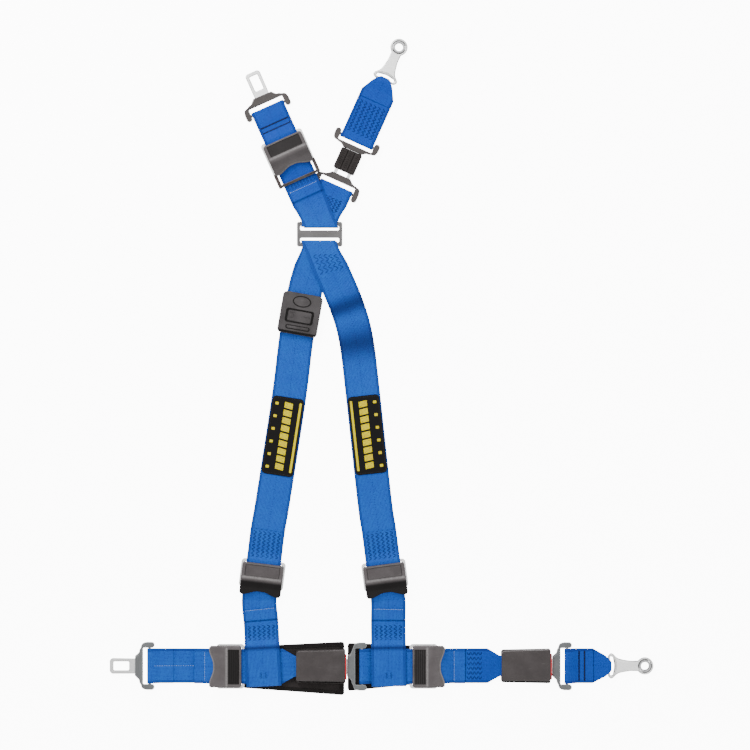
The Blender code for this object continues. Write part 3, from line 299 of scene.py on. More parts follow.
def ribbonFinish(name, base, pale):
    # a ribbed binding tape; ribs follow its own UV
    made = Finish(name, {"Sheen Weight": 0.1, "Specular IOR Level": 0.12})
    along = made.parts(made.node("TexCoord", out="UV"))[1]
    rib = wave(made, along, mm)
    cloud = made.noise(made.node("TexCoord", out="Object"), 150.0, 3.0)
    tone = made.mix(rib * made.ease(cloud, 0.3, 0.7), base, pale)
    return made.set(colour=tone, rough=made.ease(cloud, 0.3, 0.7, 0.7, 0.85),
                    normal=made.bump(rib + cloud, 0.1 * mm))


def threadFinish(name, base, pale):
    made = Finish(name, {"Specular IOR Level": 0.12})
    place = made.node("TexCoord", out="Object")
    twist = made.noise(place, 2600.0, 1.0)
    return made.set(colour=made.mix(made.ease(twist, 0.35, 0.65), base, pale),
                    rough=made.ease(twist, 0.3, 0.7, 0.55, 0.8),
             normal=made.bump(twist, 0.05 * mm))


def printFinish(name, base, dull, rough=0.5):
    # a printed or moulded colour with rubbed spots
    made = Finish(name, {"Specular IOR Level": 0.08})
    place = made.node("TexCoord", out="Object")
    cloud = made.noise(place, 160.0, 4.0)
    rub = made.ease(made.noise(place, 900.0, 3.0), 0.6, 0.72)
    tone = made.mix(made.ease(cloud, 0.35, 0.7) * 0.5, base, dull)
    return made.set(colour=made.mix(rub * 0.4, tone, dull),
                    rough=made.ease(cloud, 0.3, 0.7, rough, rough + 0.15),
             normal=made.bump(cloud + rub * 0.5, 0.03 * mm))


finishes = {
    "web": webFinish(),
    "cover": plasticFinish("coverPlastic", colour(124, 118, 119), colour(108, 102, 103),
                           colour(200, 196, 195), 0.44),
    "black": plasticFinish("blackPlastic", colour(96, 90, 90), colour(84, 78, 78), colour(178, 172, 170), 0.46),
    "deepBlack": plasticFinish("deepBlackPlastic", colour(62, 56, 55), colour(46, 41, 40),
                               colour(124, 118, 116), 0.5),
    "label": plasticFinish("labelPlastic", colour(100, 96, 97), colour(78, 74, 75), colour(170, 166, 164), 0.5),
    "keeper": mouldFinish("keeperCoat", colour(84, 74, 70), colour(156, 148, 142)),
    "grey": mouldFinish("greyMould", colour(126, 129, 130, 0.62), colour(206, 210, 212, 0.8)),
    "yoke": mouldFinish("slideMould", colour(122, 120, 120, 0.62), colour(196, 196, 198, 0.8)),
    "link": mouldFinish("linkMould", colour(96, 90, 88), colour(176, 171, 168)),
    "steel": metalFinish("brightSteel", (0.97, 0.97, 0.96, 1.0), (0.02, 0.02, 0.02, 1.0)),
    "frameSteel": metalFinish("frameSteel", (0.94, 0.94, 0.93, 1.0), (0.03, 0.03, 0.03, 1.0), 90.0, 0.32),
    "bush": metalFinish("bushSteel", (0.5, 0.5, 0.51, 1.0), (0.09, 0.09, 0.09, 1.0), 0.0, 0.38),
    "bar": metalFinish("barSteel", (0.42, 0.42, 0.43, 1.0), (0.16, 0.16, 0.16, 1.0), 0.0, 0.42),
    "pad": padFinish(),
    "tape": ribbonFinish("bindingTape", colour(22, 19, 19), colour(52, 47, 46)),
    "rubber": plasticFinish("patchRubber", colour(20, 16, 16), colour(10, 8, 8), colour(44, 40, 38),
                            0.62, 0.09),
    "yellow": printFinish("yellowRubber", colour(255, 234, 0, 0.64), colour(250, 208, 0, 0.54)),
    "red": printFinish("redPlastic", colour(206, 52, 60, 0.8), colour(170, 34, 40, 0.8), 0.36),
    "darkThread": threadFinish("darkBlueThread", colour(1, 8, 44), colour(4, 22, 84)),
    "paleThread": threadFinish("paleThread", colour(120, 166, 226, 1.0), colour(196, 216, 242, 1.0)),
    "blackThread": threadFinish("blackThread", colour(12, 12, 14), colour(46, 46, 50)),
    "greyThread": threadFinish("greyThread", colour(52, 48, 48), colour(92, 88, 86)),
}
print("finishes made", len(finishes))


# meshes

sharpEdge = {"made": 42, "cut": 38}     # edges sharper than this many degrees stay sharp


def spun(points, turn):
    # turned about z
    c, s = math.cos(math.radians(turn)), math.sin(math.radians(turn))
    x, y, z = points[..., 0], points[..., 1], points[..., 2]
    return np.stack([c * x - s * y, s * x + c * y, z], -1)


def lay(points, at=(0.0, 0.0, 0.0), turn=0.0):
    # own frame to floor plan: turned about z, moved to at, shifted to the frame, in metres
    return (spun(np.asarray(points, float), turn) + np.asarray(at, float) + shift) * mm


def oriented(verts, faces):
    # faces turned outward: the signed volume of the solid must be positive
    volume = 0.0
    for group in faces:
        a = verts[group[:, 0]]
        for k in range(1, group.shape[1] - 1):
            volume += np.einsum("ij,ij->", a, np.cross(verts[group[:, k]], verts[group[:, k + 1]]))
    return faces if volume > 0 else [group[:, ::-1] for group in faces]


def ringSolid(rings, loop=False):
    # rings[i, j]: closed rings joined in turn, capped by fans, or joined back to the first
    count, around = rings.shape[:2]
    index = np.arange(count * around).reshape(count, around)
    if loop:
        index = np.vstack([index, index[:1]])
    right = np.roll(index, -1, 1)
    quads = np.stack([index[:-1], right[:-1], right[1:], index[1:]], -1).reshape(-1, 4)
    verts = rings.reshape(-1, 3)
    if loop:
        return verts, oriented(verts, [quads])
    verts = np.vstack([verts, rings[0].mean(0), rings[-1].mean(0)])
    fans = [np.stack([right[0], index[0], np.full(around, len(verts) - 2)], 1),
            np.stack([index[-1], right[-1], np.full(around, len(verts) - 1)], 1)]
    return verts, oriented(verts, [quads, np.vstack(fans)])


def shell(outer, inner):
    # two grids of one shape, joined round their four borders into a closed wall
    rows, cols = outer.shape[:2]
    index = np.arange(rows * cols).reshape(rows, cols)
    face = np.stack([index[:-1, :-1], index[:-1, 1:], index[1:, 1:], index[1:, :-1]], -1).reshape(-1, 4)
    border = np.concatenate([index[0, :-1], index[:-1, -1], index[-1, :0:-1], index[:0:-1, 0]])
    after = np.roll(border, -1)
    rim = np.stack([after, border, border + rows * cols, after + rows * cols], 1)
    verts = np.vstack([outer.reshape(-1, 3), inner.reshape(-1, 3)])
    return verts, oriented(verts, [face, face[:, ::-1] + rows * cols, rim])


def joined(solids):
    # several solids as one mesh
    verts, faces, start = [], [], 0
    for points, groups in solids:
        verts.append(points)
        faces += [group + start for group in groups]
        start += len(points)
    return np.vstack(verts), faces


def bodyOf(node):
    return frame["nodes"][node]["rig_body"]


def link(name, data):
    # a new object in the scene
    made = bpy.data.objects.new(name, data)
    bpy.context.scene.collection.objects.link(made)
    return made


def meshOf(name, verts, faces):
    mesh = bpy.data.meshes.new(name)
    mesh.from_pydata(verts.tolist(), [], [face for group in faces for face in group.tolist()])
    return mesh


def meshNow(made):
    # the mesh an object has after its modifiers
    return bpy.data.meshes.new_from_object(made.evaluated_get(bpy.context.evaluated_depsgraph_get()))


def piece(name, solid, body, finish, nodes=(), uv=None, marks=None):
    # one finished object: mesh in place, finish, body and the CAD nodes it stands for
    verts, faces = solid
    mesh = meshOf(name, verts, faces)
    if uv is not None:
        corner = np.zeros(len(mesh.loops), int)
        mesh.loops.foreach_get("vertex_index", corner)
        mesh.uv_layers.new(name="UVMap").uv.foreach_set("vector", uv[corner].astype(np.float32).ravel())
    for key, values in (marks or {}).items():
        mesh.attributes.new(key, "FLOAT", "POINT").data.foreach_set("value", np.asarray(values, np.float32))
    return finished(name, mesh, body, finish, nodes)


def finished(name, mesh, body, finish, nodes=()):
    mesh.update()
    mesh.shade_smooth()
    mesh.set_sharp_from_angle(angle=math.radians(sharpEdge["made"]))
    mesh.materials.append(finishes[finish])
    made = link(name, mesh)
    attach(made, body)
    if nodes:
        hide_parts(*nodes)
    return made


def rounded(corners, step=6.0, closed=True):
    # corners are (x, y, radius); each becomes an arc that fits the sides next to it
    count, found = len(corners), []
    for i, (x, y, radius) in enumerate(corners):
        here = np.array([x, y], float)
        back = np.array(corners[i - 1][:2], float) - here
        ahead = np.array(corners[(i + 1) % count][:2], float) - here
        near, far = np.linalg.norm(back), np.linalg.norm(ahead)
        if radius <= 0 or (not closed and i in (0, count - 1)):
            found.append(here[None])
            continue
        back, ahead = back / near, ahead / far
        turn = math.pi - math.acos(max(-1.0, min(1.0, float(back @ ahead))))
        if turn < 1e-3:
            found.append(here[None])
            continue
        trim = min(radius * math.tan(turn / 2), 0.499 * near, 0.499 * far)
        radius = trim / math.tan(turn / 2)
        middle = back + ahead
        centre = here + middle / np.linalg.norm(middle) * radius / math.cos(turn / 2)
        start, end = here + back * trim - centre, here + ahead * trim - centre
        side = math.copysign(1.0, start[0] * end[1] - start[1] * end[0])
        a = side * turn * np.linspace(0, 1, max(2, math.ceil(math.degrees(turn) / step)) + 1)
        found.append(centre + np.stack([start[0] * np.cos(a) - start[1] * np.sin(a),
                                        start[0] * np.sin(a) + start[1] * np.cos(a)], 1))
    return np.vstack(found)


def even(outline, step):
    # a closed outline with points added so that none is farther than step from the next
    after = np.roll(outline, -1, 0)
    count = np.maximum(1, np.ceil(np.linalg.norm(after - outline, axis=1) / step).astype(int))
    start = np.repeat(np.arange(len(outline)), count)
    share = np.concatenate([np.arange(n) / n for n in count])[:, None]
    return outline[start] * (1 - share) + after[start] * share


def arcPoints(centre, radius, start, end, steps=40):
    angles = np.radians(np.linspace(start, end, steps + 1))
    return [(centre[0] + radius * math.cos(a), centre[1] + radius * math.sin(a), 0.0) for a in angles]


def inset(outline, distance):
    # each point of a closed outline moved inward, square to its neighbours
    step = np.roll(outline, -1, 0) - np.roll(outline, 1, 0)
    x, y = outline.T
    area = np.sum(x * np.roll(y, -1) - y * np.roll(x, -1))
    normal = np.stack([-step[:, 1], step[:, 0]], 1) / np.linalg.norm(step, axis=1)[:, None]
    return outline + normal * distance * (1.0 if area > 0 else -1.0)


def level(ring, z):
    return np.column_stack([ring, np.full(len(ring), z)])


def slab(corners, low, high, edge=0.8, crown=0.0, step=2.5, lowEdge=None):
    # a solid with rounded rims: rings of the outline, moved in by a quarter circle at each
    # rim, and then shrunk to the middle, where the top is crown higher than its rim
    outline = even(rounded(corners), step)
    middle = (outline.min(0) + outline.max(0)) / 2
    lowEdge = edge if lowEdge is None else lowEdge
    angles = np.radians(np.linspace(0, 90, 6))
    shares = np.linspace(0.0, 0.96, 5)
    levels = [(lowEdge + 0.3, low, share) for share in shares[::-1]]
    levels += [(lowEdge * (1 - math.cos(a)), low + lowEdge * (1 - math.sin(a)), 0.0) for a in angles[::-1]]
    levels += [(edge * (1 - math.cos(a)), high - crown - edge * (1 - math.sin(a)), 0.0) for a in angles]
    if crown > 0:
        shares = np.linspace(0.0, 0.96, 9)
    levels += [(edge + 0.3 + 0.4 * (share > 0), high - crown * (1 - share) ** 2, share) for share in shares]
    found = []
    for distance, z, share in levels:
        ring = inset(outline, distance)
        ring = middle + (ring - middle) * (1 - share)
        found.append(level(ring, z))
    return np.array(found)


def block(corners, low, high, edge=0.8, crown=0.0, at=(0, 0, 0), turn=0.0, step=2.5, lowEdge=None):
    return ringSolid(lay(slab(corners, low, high, edge, crown, step, lowEdge), at, turn))


def sides(u0, u1, half, radius=0.0, middle=0.0):
    # the corners of a rectangle from u0 to u1, centred across on middle
    near, far = middle - half, middle + half
    return [(u0, near, radius), (u1, near, radius), (u1, far, radius), (u0, far, radius)]


def tube(path, radius, around=20, flat=1.0):
    # circles carried square along a path, their radius easing to a third at its ends
    path = np.asarray(path, float)
    tangent = np.gradient(path, axis=0)
    tangent /= np.linalg.norm(tangent, axis=1)[:, None]
    side = np.cross(tangent, (0.0, 0.0, 1.0))
    side /= np.linalg.norm(side, axis=1)[:, None]
    up = np.cross(side, tangent)
    a = np.linspace(0, 2 * math.pi, around, endpoint=False)
    size = np.full(len(path), float(radius))
    size[[0, -1]], size[[1, -2]] = radius * 0.35, radius * 0.85
    c, s = np.cos(a), np.sin(a) * flat
    ring = side[:, None] * c[None, :, None] + up[:, None] * s[None, :, None]
    return path[:, None] + ring * size[:, None, None]


def rod(start, end, radius, at, turn):
    start, end = np.array(start, float), np.array(end, float)
    length = np.linalg.norm(end - start)
    eased = radius * np.array([0.0, 0.25, 0.7])
    stops = np.append(eased, length - eased[::-1]) / length
    return ringSolid(lay(tube(start + (end - start) * stops[:, None], radius), at, turn))


def plate(loops, low, high, edge, at=(0, 0, 0), turn=0.0):
    # a flat shape with holes and rolled rims, as a filled curve turned into a mesh
    curve = bpy.data.curves.new("flat", "CURVE")
    curve.dimensions = "2D"
    curve.fill_mode = "BOTH"
    curve.extrude = (high - low) / 2 - edge
    curve.bevel_depth = edge
    curve.bevel_resolution = 2
    for k, corners in enumerate(loops):
        points = inset(rounded(corners), edge if k == 0 else -edge)
        points = points[np.linalg.norm(points - np.roll(points, 1, 0), axis=1) > 0.1]
        spline = curve.splines.new("POLY")
        spline.points.add(len(points) - 1)
        spline.points.foreach_set("co", np.column_stack([level(points, 0.0), np.ones(len(points))]).ravel())
        spline.use_cyclic_u = True
    drawn = link("flat", curve)
    mesh = meshNow(drawn)
    bpy.data.objects.remove(drawn, do_unlink=True)
    bm = bmesh.new()
    bm.from_mesh(mesh)
    bmesh.ops.remove_doubles(bm, verts=bm.verts, dist=1e-3)
    bmesh.ops.recalc_face_normals(bm, faces=bm.faces)
    verts = np.array([v.co for v in bm.verts]) + (0.0, 0.0, (low + high) / 2)
    groups = {}
    for face in bm.faces:
        groups.setdefault(len(face.verts), []).append([v.index for v in face.verts])
    bm.free()
    bpy.data.meshes.remove(mesh)
    verts = lay(verts, at, turn)
    return verts, oriented(verts, [np.array(group) for group in groups.values()])


def flatShade(made):
    # broad faces keep their own normals beside small rolled rims
    weigh = made.modifiers.new("faceWeight", "WEIGHTED_NORMAL")
    weigh.keep_sharp = True
    return made


def cut(made, solids):
    # takes solids away from a piece and keeps the result as its mesh
    for verts, faces in solids:
        tool = link("tool", meshOf("tool", verts, faces))
        step = made.modifiers.new("cut", "BOOLEAN")
        step.operation, step.solver, step.object = "DIFFERENCE", "EXACT", tool
        bpy.context.view_layer.update()
        result = meshNow(made)
        made.modifiers.clear()
        made.data = result
        bpy.data.objects.remove(tool, do_unlink=True)
    made.data.shade_smooth()
    made.data.set_sharp_from_angle(angle=math.radians(sharpEdge["cut"]))
    return flatShade(made)


def boxTool(lowCorner, highCorner, at, turn):
    (a, b, c), (d, e, f) = lowCorner, highCorner
    ring = np.array([[a, b], [d, b], [d, e], [a, e]], float)
    rings = np.array([level(ring, z) for z in (c, f)])
    return ringSolid(lay(rings, at, turn))


def beyond(point, turn, distance):
    # the point at a distance along the direction turned from +Y towards -X
    a = math.radians(turn)
    return (point[0] - math.sin(a) * distance, point[1] + math.cos(a) * distance)


# heights and places, as the parts were laid out

tapeThick, gap, width = webbing["thick"], webbing["gap"], webbing["width"]
pitch = tapeThick + gap
single, double = tapeThick / 2, tapeThick / 2 + pitch
adjuster = {"thick": 3.0, "rail": 4.8, "width": width + 14.0, "front": 17.0, "bar": 4.0, "fixed": 22.0,
            "slideRadius": 2.0, "coverWidth": width + 10.0, "free": -27.0, "end": 19.5, "top": 9.8,
            "skirt": 1.4, "scoop": 6.0, "hingeU": 17.0, "hingeZ": 5.2, "ear": 2.2, "pin": 1.2, "keeper": -42.8}
tongue = {"bar": 2.0, "width": width + 19.0, "start": 9.4, "body": 12.0, "mould": 6.0, "ring": 4.0, "lobe": 7.0,
          "bladeWidth": 22.5, "blade": 36.0, "bladeThick": 2.5, "windowLength": 22.5, "windowWidth": 12.7,
          "windowTip": 5.4, "linkStart": 8.0, "linkBody": 8.2, "linkBlade": 26.0, "root": 7.0}
linkBlock = {"length": 31.9, "width": 32.0, "height": 9.6, "prong": 5.0, "spread": 10.0, "prongGap": 6.0,
             "depth": 5.0}
eye = {"reach": 51.7, "radius": 12.4, "bush": 8.8, "hole": 5.75, "thick": 3.0, "bar": 3.0, "neck": 15.0,
       "slot": 6.4, "slotWidth": webbing["eyeNarrow"] + 3.0, "bushHeight": 7.2}
buckle = {"length": 71.2, "width": webbing["narrow"] + 20.9, "below": 7.0, "above": 9.0, "wall": 1.4,
          "floor": 1.2, "roof": 1.6, "channelWidth": 38.0, "channelThick": 2.0, "bar": 5.0, "buttonWidth": 36.5,
          "buttonLength": 11.0, "proud": 1.7}
labelBlock = {"x": -117.3, "y": 76.9, "turn": -10.0, "width": width + 7.6, "length": 60.0, "height": 13.0,
              "floor": 1.7, "oval": (12.0, 7.0), "ovalV": 18.0, "ring": (-12.0, -4.0, 3.6),
              "bars": ((-15.0, 1.2, 7.0), (2.0, -3.0, 13.0), (-15.0, -10.2, 8.0))}
patch = {"width": width - 4.0, "length": 113.5, "thick": 1.2, "corner": 6.0}
pad = {"thick": 3.0, "corner": 4.0, "tape": 6.5, "rim": 1.6, "under": 0.3, "rise": 2.2, "swell": 0.5,
       "quilt": 0.22, "sewnAt": 1.3, "sewnZ": 3.06}
lap = {"y": -429.4, "leftTongue": -334.0, "centreMouth": -52.0, "rightMouth": 243.1, "mouthGap": 2.3,
       "eye": 379.2}
arm = {"keeperSlide": 113.1, "tongueBar": 181.6, "linkLow": 57.4, "linkBlock": 82.8, "linkHigh": 131.2,
       "eye": 278.7}
shoulders = {
    "left": {"cover": (-172.6, -305.0), "turn": 7.0, "loop": -170.3, "waist": -173.5, "patchShare": 0.38,
             "points": [(-108.5, 117.5), (-122.4, 44.6), (-133.4, -42.3), (-156.5, -191.0)]},
    "right": {"cover": (5.7, -306.0), "turn": -7.5, "loop": 10.4, "waist": 9.6, "patchShare": 0.375,
              "points": [(-71.4, 139.5), (-49.7, 88.2), (-36.5, 40.0), (-26.6, -40.0), (-10.1, -191.0)]},
}
adjustClear = adjuster["fixed"] + adjuster["bar"] / 2 + width / 2
leftAdjust = shoulders["left"]["loop"] - adjustClear - 1.5
rightAdjust = shoulders["right"]["loop"] + adjustClear + 4.6
loopBack = pad["thick"] + gap + tapeThick / 2
bandLow, bandHigh = loopBack + pitch, loopBack + 2 * pitch
barRim = gap + tapeThick / 2     # from a bar's surface to the middle of the strap round it
fixedRise = adjuster["thick"] / 2 + barRim
slideRise = adjuster["slideRadius"] + barRim
lapAdjustZ = bandLow + fixedRise
loopFront = lapAdjustZ + fixedRise + pitch
tongueRise = tongue["bar"] + barRim
lowZ = tapeThick / 2 + slideRise
centreZ, rightZ = pad["thick"] + gap + buckle["below"], buckle["below"]
yokeRise = slide["thick"] / 2 + barRim
yokeZ = tapeThick / 2 + pitch + yokeRise
yokeInner = yokeZ + yokeRise
yokeOuter = yokeInner + pitch
linkZ = yokeInner - tongueRise
keeperZ = yokeOuter + slideRise
channelZ = -(tongue["bladeThick"] / 2 + gap + buckle["channelThick"] / 2)
channelRise = buckle["channelThick"] / 2 + barRim
barU = buckle["length"] - buckle["wall"] - 0.6 - gap - buckle["bar"] / 2
barReach = buckle["bar"] / 2 + barRim
topBarY = slide["midBar"] / 2 + slide["slot"] + slide["topBar"] / 2
lowBarY = slide["midBar"] / 2 + slide["slot"] + slide["lowBar"] / 2
armStart = (slide["x"], slide["y"] + topBarY)
leftTurn, rightTurn = 90.0 + webbing["armAngle"], 90.0 - webbing["armAngle"]


def along(arm, distance):
    # a point of an upper arm, from the yoke's top bar
    a = math.radians(leftTurn if arm == "left" else rightTurn)
    return (armStart[0] + math.cos(a) * distance, armStart[1] + math.sin(a) * distance)


# webbing straps


class Route:
    # a strap's centre line in plan: a smooth curve through its points, read by distance
    def __init__(self, points, widths=((0.0, width),), square=None, start=0.0):
        self.widths, self.square = np.array(widths, float), square
        pts = np.array(points, float)
        near = np.vstack([2 * pts[0] - pts[1], pts, 2 * pts[-1] - pts[-2]])
        t = np.linspace(0, 1, 17)[1:, None]
        fine = [pts[:1]]
        for a, b, c, d in zip(near, near[1:], near[2:], near[3:]):
            square = (2 * a - 5 * b + 4 * c - d) * t**2
            fine.append(0.5 * (2 * b + (c - a) * t + square + (3 * b - a - 3 * c + d) * t**3))
        self.points = np.vstack(fine)
        steps = np.linalg.norm(np.diff(self.points, axis=0), axis=1)
        self.dist = np.concatenate([[0.0], np.cumsum(steps)]) + start
        self.length = self.dist[-1]

    def at(self, s):
        return np.stack([np.interp(s, self.dist, self.points[:, k]) for k in (0, 1)], -1)

    def heading(self, s):
        ahead = self.at(np.clip(s + 4.0, self.dist[0] + 1.0, self.length))
        step = ahead - self.at(np.clip(s - 4.0, self.dist[0], self.length - 1.0))
        return step / np.linalg.norm(step, axis=-1)[..., None]

    def place(self, s):
        inside = np.clip(s, self.dist[0], self.length)
        return self.at(inside) + self.heading(inside) * (s - inside)[..., None]

    def row(self, s):
        # the row's unit direction and half its length; near the yoke it follows the bars
        ahead = self.heading(s)
        across = np.stack([ahead[:, 1], -ahead[:, 0]], -1)
        mixed = across
        if self.square:
            share = np.interp(s, self.square, (1.0, 0.0))[:, None]
            bars = np.stack([np.copysign(1.0, across[:, 0]), np.zeros(len(s))], -1)
            mixed = bars * share + across * (1 - share)
            mixed /= np.linalg.norm(mixed, axis=1)[:, None]
        half = np.interp(s, self.widths[:, 0], self.widths[:, 1]) / 2
        return mixed, half / np.sum(mixed * across, 1)


straps = {}


def strap(name, route, corners, creaseShade=()):
    # side view: a rounded path of (distance along the route, height). Its cross-section,
    # a tape with round edges, is carried along that path, square to it
    path = rounded(corners, webbing["arcStep"], closed=False)
    dist = np.concatenate([[0.0], np.cumsum(np.linalg.norm(np.diff(path, axis=0), axis=1))])
    between = np.linspace(0, dist[-1], int(dist[-1] / webbing["step"]))
    stations = np.unique(np.round(np.concatenate([dist, between]), 2))
    s, z = np.interp(stations, dist, path[:, 0]), np.interp(stations, dist, path[:, 1])
    centre = np.column_stack([route.place(s), z])
    row, half = route.row(s)
    row = np.column_stack([row, np.zeros(len(s))])
    ahead = np.gradient(centre, stations, axis=0)
    normal = np.cross(row, ahead)
    normal /= np.linalg.norm(normal, axis=1)[:, None]
    r = tapeThick / 2
    top = np.linspace(-1, 1, webbing["across"])
    turn = np.radians((60, 30, 0, -30, -60))
    share = np.concatenate([top, np.ones(5), top[::-1], -np.ones(5)])
    out = np.concatenate([0 * top, np.cos(turn), 0 * top, -np.cos(turn)]) * r
    rise = np.concatenate([1 + 0 * top, np.sin(turn), -1 + 0 * top, -np.sin(turn)]) * r
    reach = share[None] * (half - r)[:, None] + out[None]
    lift = rise[None] * (1.0 - 0.06 * np.cos(share * math.pi * 3) ** 2)[None]
    rings = centre[:, None] + row[:, None] * reach[..., None] + normal[:, None] * lift[..., None]
    solid = ringSolid(lay(rings))
    plain = share[None] * width / 2 * np.ones((len(s), 1)) * (half / (width / 2))[:, None]
    uv = np.stack([plain, np.repeat(stations[:, None], len(share), 1)], -1).reshape(-1, 2) * mm
    uv = np.vstack([uv, uv[:1], uv[-1:]])
    # painted shade: these marks give where the strap darkens at a crease
    marks = np.zeros(len(s))
    for place, spread in creaseShade:
        marks = np.maximum(marks, np.exp(-((s - place) / spread) ** 2))
    marks = np.append(np.repeat(marks, len(share)), (0.0, 0.0))
    body = bodyOf(name)
    made = piece(name + "_cloth", solid, body, "web", (name,), uv, {"creaseShade": marks})
    straps[name] = {"s": s, "z": z, "route": route, "body": body, "length": dist[-1]}
    return made


def fold(s, z, reach, rise, way, up=1, outside=0.0):
    # two corners that take a strap round a bar at (s, z): on beyond the bar, then back
    tight = tapeThick / 2 + 2 * gap + outside
    radius = rise * 0.98 if reach == rise else min(tight, reach, rise)
    return [(s + way * reach, z - up * rise, radius), (s + way * reach, z + up * rise, radius)]


def band(first, last, near, far, seam, ramp=14.0, under=False, hold=0.0):
    # a sewn loop round two bars; first and last are (s, z, reach, rise)
    near, far = (far, near) if under else (near, far)
    sign = -1 if under else 1
    s, z, reach, rise = first
    flat = 1.0 if reach == rise else reach
    hold = hold or flat
    corners = [(seam - webbing["seam"] / 2, far, 0.0), (s + hold + ramp, far, 6.0),
               (s + hold, z + sign * rise, 4.0)]
    corners += fold(s, z, reach, rise, -1, -sign)
    corners += [(s + flat, z - sign * rise, 4.0), (s + flat + ramp, near, 6.0)]
    s, z, reach, rise = last
    flat = 1.0 if reach == rise else reach
    corners += [(s - flat - ramp, near, 6.0), (s - flat, z - sign * rise, 4.0)]
    corners += fold(s, z, reach, rise, 1, sign)
    corners += [(s - flat, z + sign * rise, 4.0), (s - flat - ramp, far, 6.0)]
    return corners + [(seam + webbing["seam"] / 2, far, 0.0)]


def tail(start, height, drop, rest, end, way):
    # from over the slide bar down to its resting height, and back over itself as a hem
    return [(start + way * (adjuster["front"] + 3.0), height, 4.0), (drop, rest, 6.0),
            (end, rest, pitch * 0.49), (end, rest + pitch, pitch * 0.49),
            (end - way * webbing["hem"], rest + pitch, 0.0)]


def eyeTip(bar):
    # widths of a strap that is gathered to a rounded tip in an eye plate
    tip = webbing["eyeNarrow"]
    return ((bar - 23.0, width), (bar - 6.0, tip + 7.0), (bar - 2.0, tip), (bar + 1.0, tip - 5.0),
            (bar + 3.2, tip - 11.0), (bar + 4.4, tip - 16.0))


def slantReach(barHalf, outer):
    return (barHalf + barRim + (pitch if outer else 0.0)) / math.cos(math.radians(webbing["armAngle"]))


def shoulderStraps(side, front):
    seat = shoulders[side]
    turn = -seat["turn"]
    slideAt = beyond(seat["cover"], turn, -(adjuster["free"] + adjuster["end"]) / 2)
    fixedAt = beyond(slideAt, turn, adjuster["fixed"])
    start = (slide["x"] + (0.6 if front else 0.0), slide["y"] - lowBarY)
    route = Route([start, *seat["points"], beyond(slideAt, turn, adjuster["fixed"] + 46.0), fixedAt],
                  ((10.0, webbing["bunched"]), (34.0, width)), (16.0, 60.0))
    top = yokeOuter if front else yokeInner
    rise, reach = top - yokeZ, slantReach(slide["lowBar"] / 2, front)
    corners = [(18.0, yokeZ - rise, 0.0), *fold(0.0, yokeZ, reach, rise, -1, 1, pitch if front else 0.0)]
    inside = labelBlock["floor"] + gap + 0.2 + tapeThick / 2
    if front:
        over = inside + pitch + gap
        corners += [(30.0, top, 20.0), (64.0, over, 20.0), (84.0, over, 20.0), (106.0, single, 20.0)]
    else:
        block = (start[1] - labelBlock["y"]) / math.cos(math.radians(17.0))
        half = labelBlock["length"] / 2 + 2.0
        low = block + half
        corners += [(14.0, top, 20.0), (52.0, inside, 20.0), (low, inside, 20.0), (low + 22.0, single, 20.0)]
    bail, lower = route.length, lowZ - fixedRise
    corners += [(bail - 16.0, single, 8.0), (bail - 4.0, lower, 4.0)]
    corners += fold(bail, lowZ, adjuster["bar"] / 2 + barRim, fixedRise, 1)
    corners += [(bail - 2.5, lowZ + fixedRise, 4.0), (bail - 14.0, double, 8.0), (bail - 45.0, double, 0.0)]
    strap("web_shoulder_" + side, route, corners, creaseShade=((96.0, 13.0), (152.0, 22.0)) if front else ())

    route = Route([(seat["loop"], lap["y"]), (seat["waist"], -369.0), beyond(slideAt, turn, -34.0), slideAt])
    edge = width / 2 + barRim + 2.0
    middle, half, far = (loopFront + loopBack) / 2, (loopFront - loopBack) / 2, route.length
    corners = [(64.0, double, 0.0), (42.0, double, 8.0), (edge + 1.5, loopFront, 6.0),
               *fold(0.0, middle, edge, half, -1, -1)]
    corners += [(edge + 6.0, loopBack, 8.0), (46.0, single, 8.0), (far - 14.0, single, 8.0)]
    corners += fold(far, lowZ, slideRise, slideRise, 1)
    corners += tail(far, lowZ + slideRise, far - 34.0, double, 66.5, -1)
    strap("web_shoulder_lower_" + side, route, corners, creaseShade=((27.0, 3.0),))
    return slideAt


def armRoute(which):
    return Route([armStart, along(which, 150.0)], ((10.0, webbing["bunched"]), (34.0, width)), (16.0, 42.0))


def armStraps():
    straight = Route([armStart, along("left", 300.0)])
    rise, reach, at = yokeOuter - yokeZ, slantReach(slide["topBar"] / 2, True), arm["keeperSlide"]
    rest = yokeOuter + pitch
    corners = [(18.0, yokeZ - rise, 0.0), *fold(0.0, yokeZ, reach, rise, -1, 1, pitch)]
    corners += fold(at, keeperZ, slideRise, slideRise, 1)
    corners += [(at - 8.0, keeperZ + slideRise, 6.0), (at - 34.0, rest, 8.0), (43.4, rest, pitch * 0.49),
                (43.4, rest + pitch, pitch * 0.49), (43.4 + webbing["hem"], rest + pitch, 0.0)]
    strap("web_upper_adjust", armRoute("left"), corners)
    bail = at + adjuster["fixed"]
    middle = (keeperZ + lowZ) / 2
    first = (bail, keeperZ, adjuster["bar"] / 2 + barRim, fixedRise)
    last = (arm["tongueBar"], lowZ, tongueRise, tongueRise)
    strap("web_upper_link", straight, band(first, last, middle - 1.0, middle - 1.0 + pitch, bail + 17.5, 15.0))

    first = (0.0, yokeZ, slantReach(slide["topBar"] / 2, False), yokeRise)
    last = (arm["linkLow"], linkZ, tongueRise, tongueRise)
    strap("web_upper_yoke", armRoute("right"),
          band(first, last, single + 0.1, yokeInner, 45.0, 10.0, True, 24.0))
    bar = arm["eye"] - eye["reach"]
    route = Route([armStart, along("right", 300.0)], eyeTip(bar))
    first = (arm["linkHigh"], linkZ, tongueRise, tongueRise)
    last = (bar, lowZ, eye["bar"] / 2 + barRim + 0.6, slideRise)
    strap("web_upper_anchor", route, band(first, last, single, double, bar - 34.0))


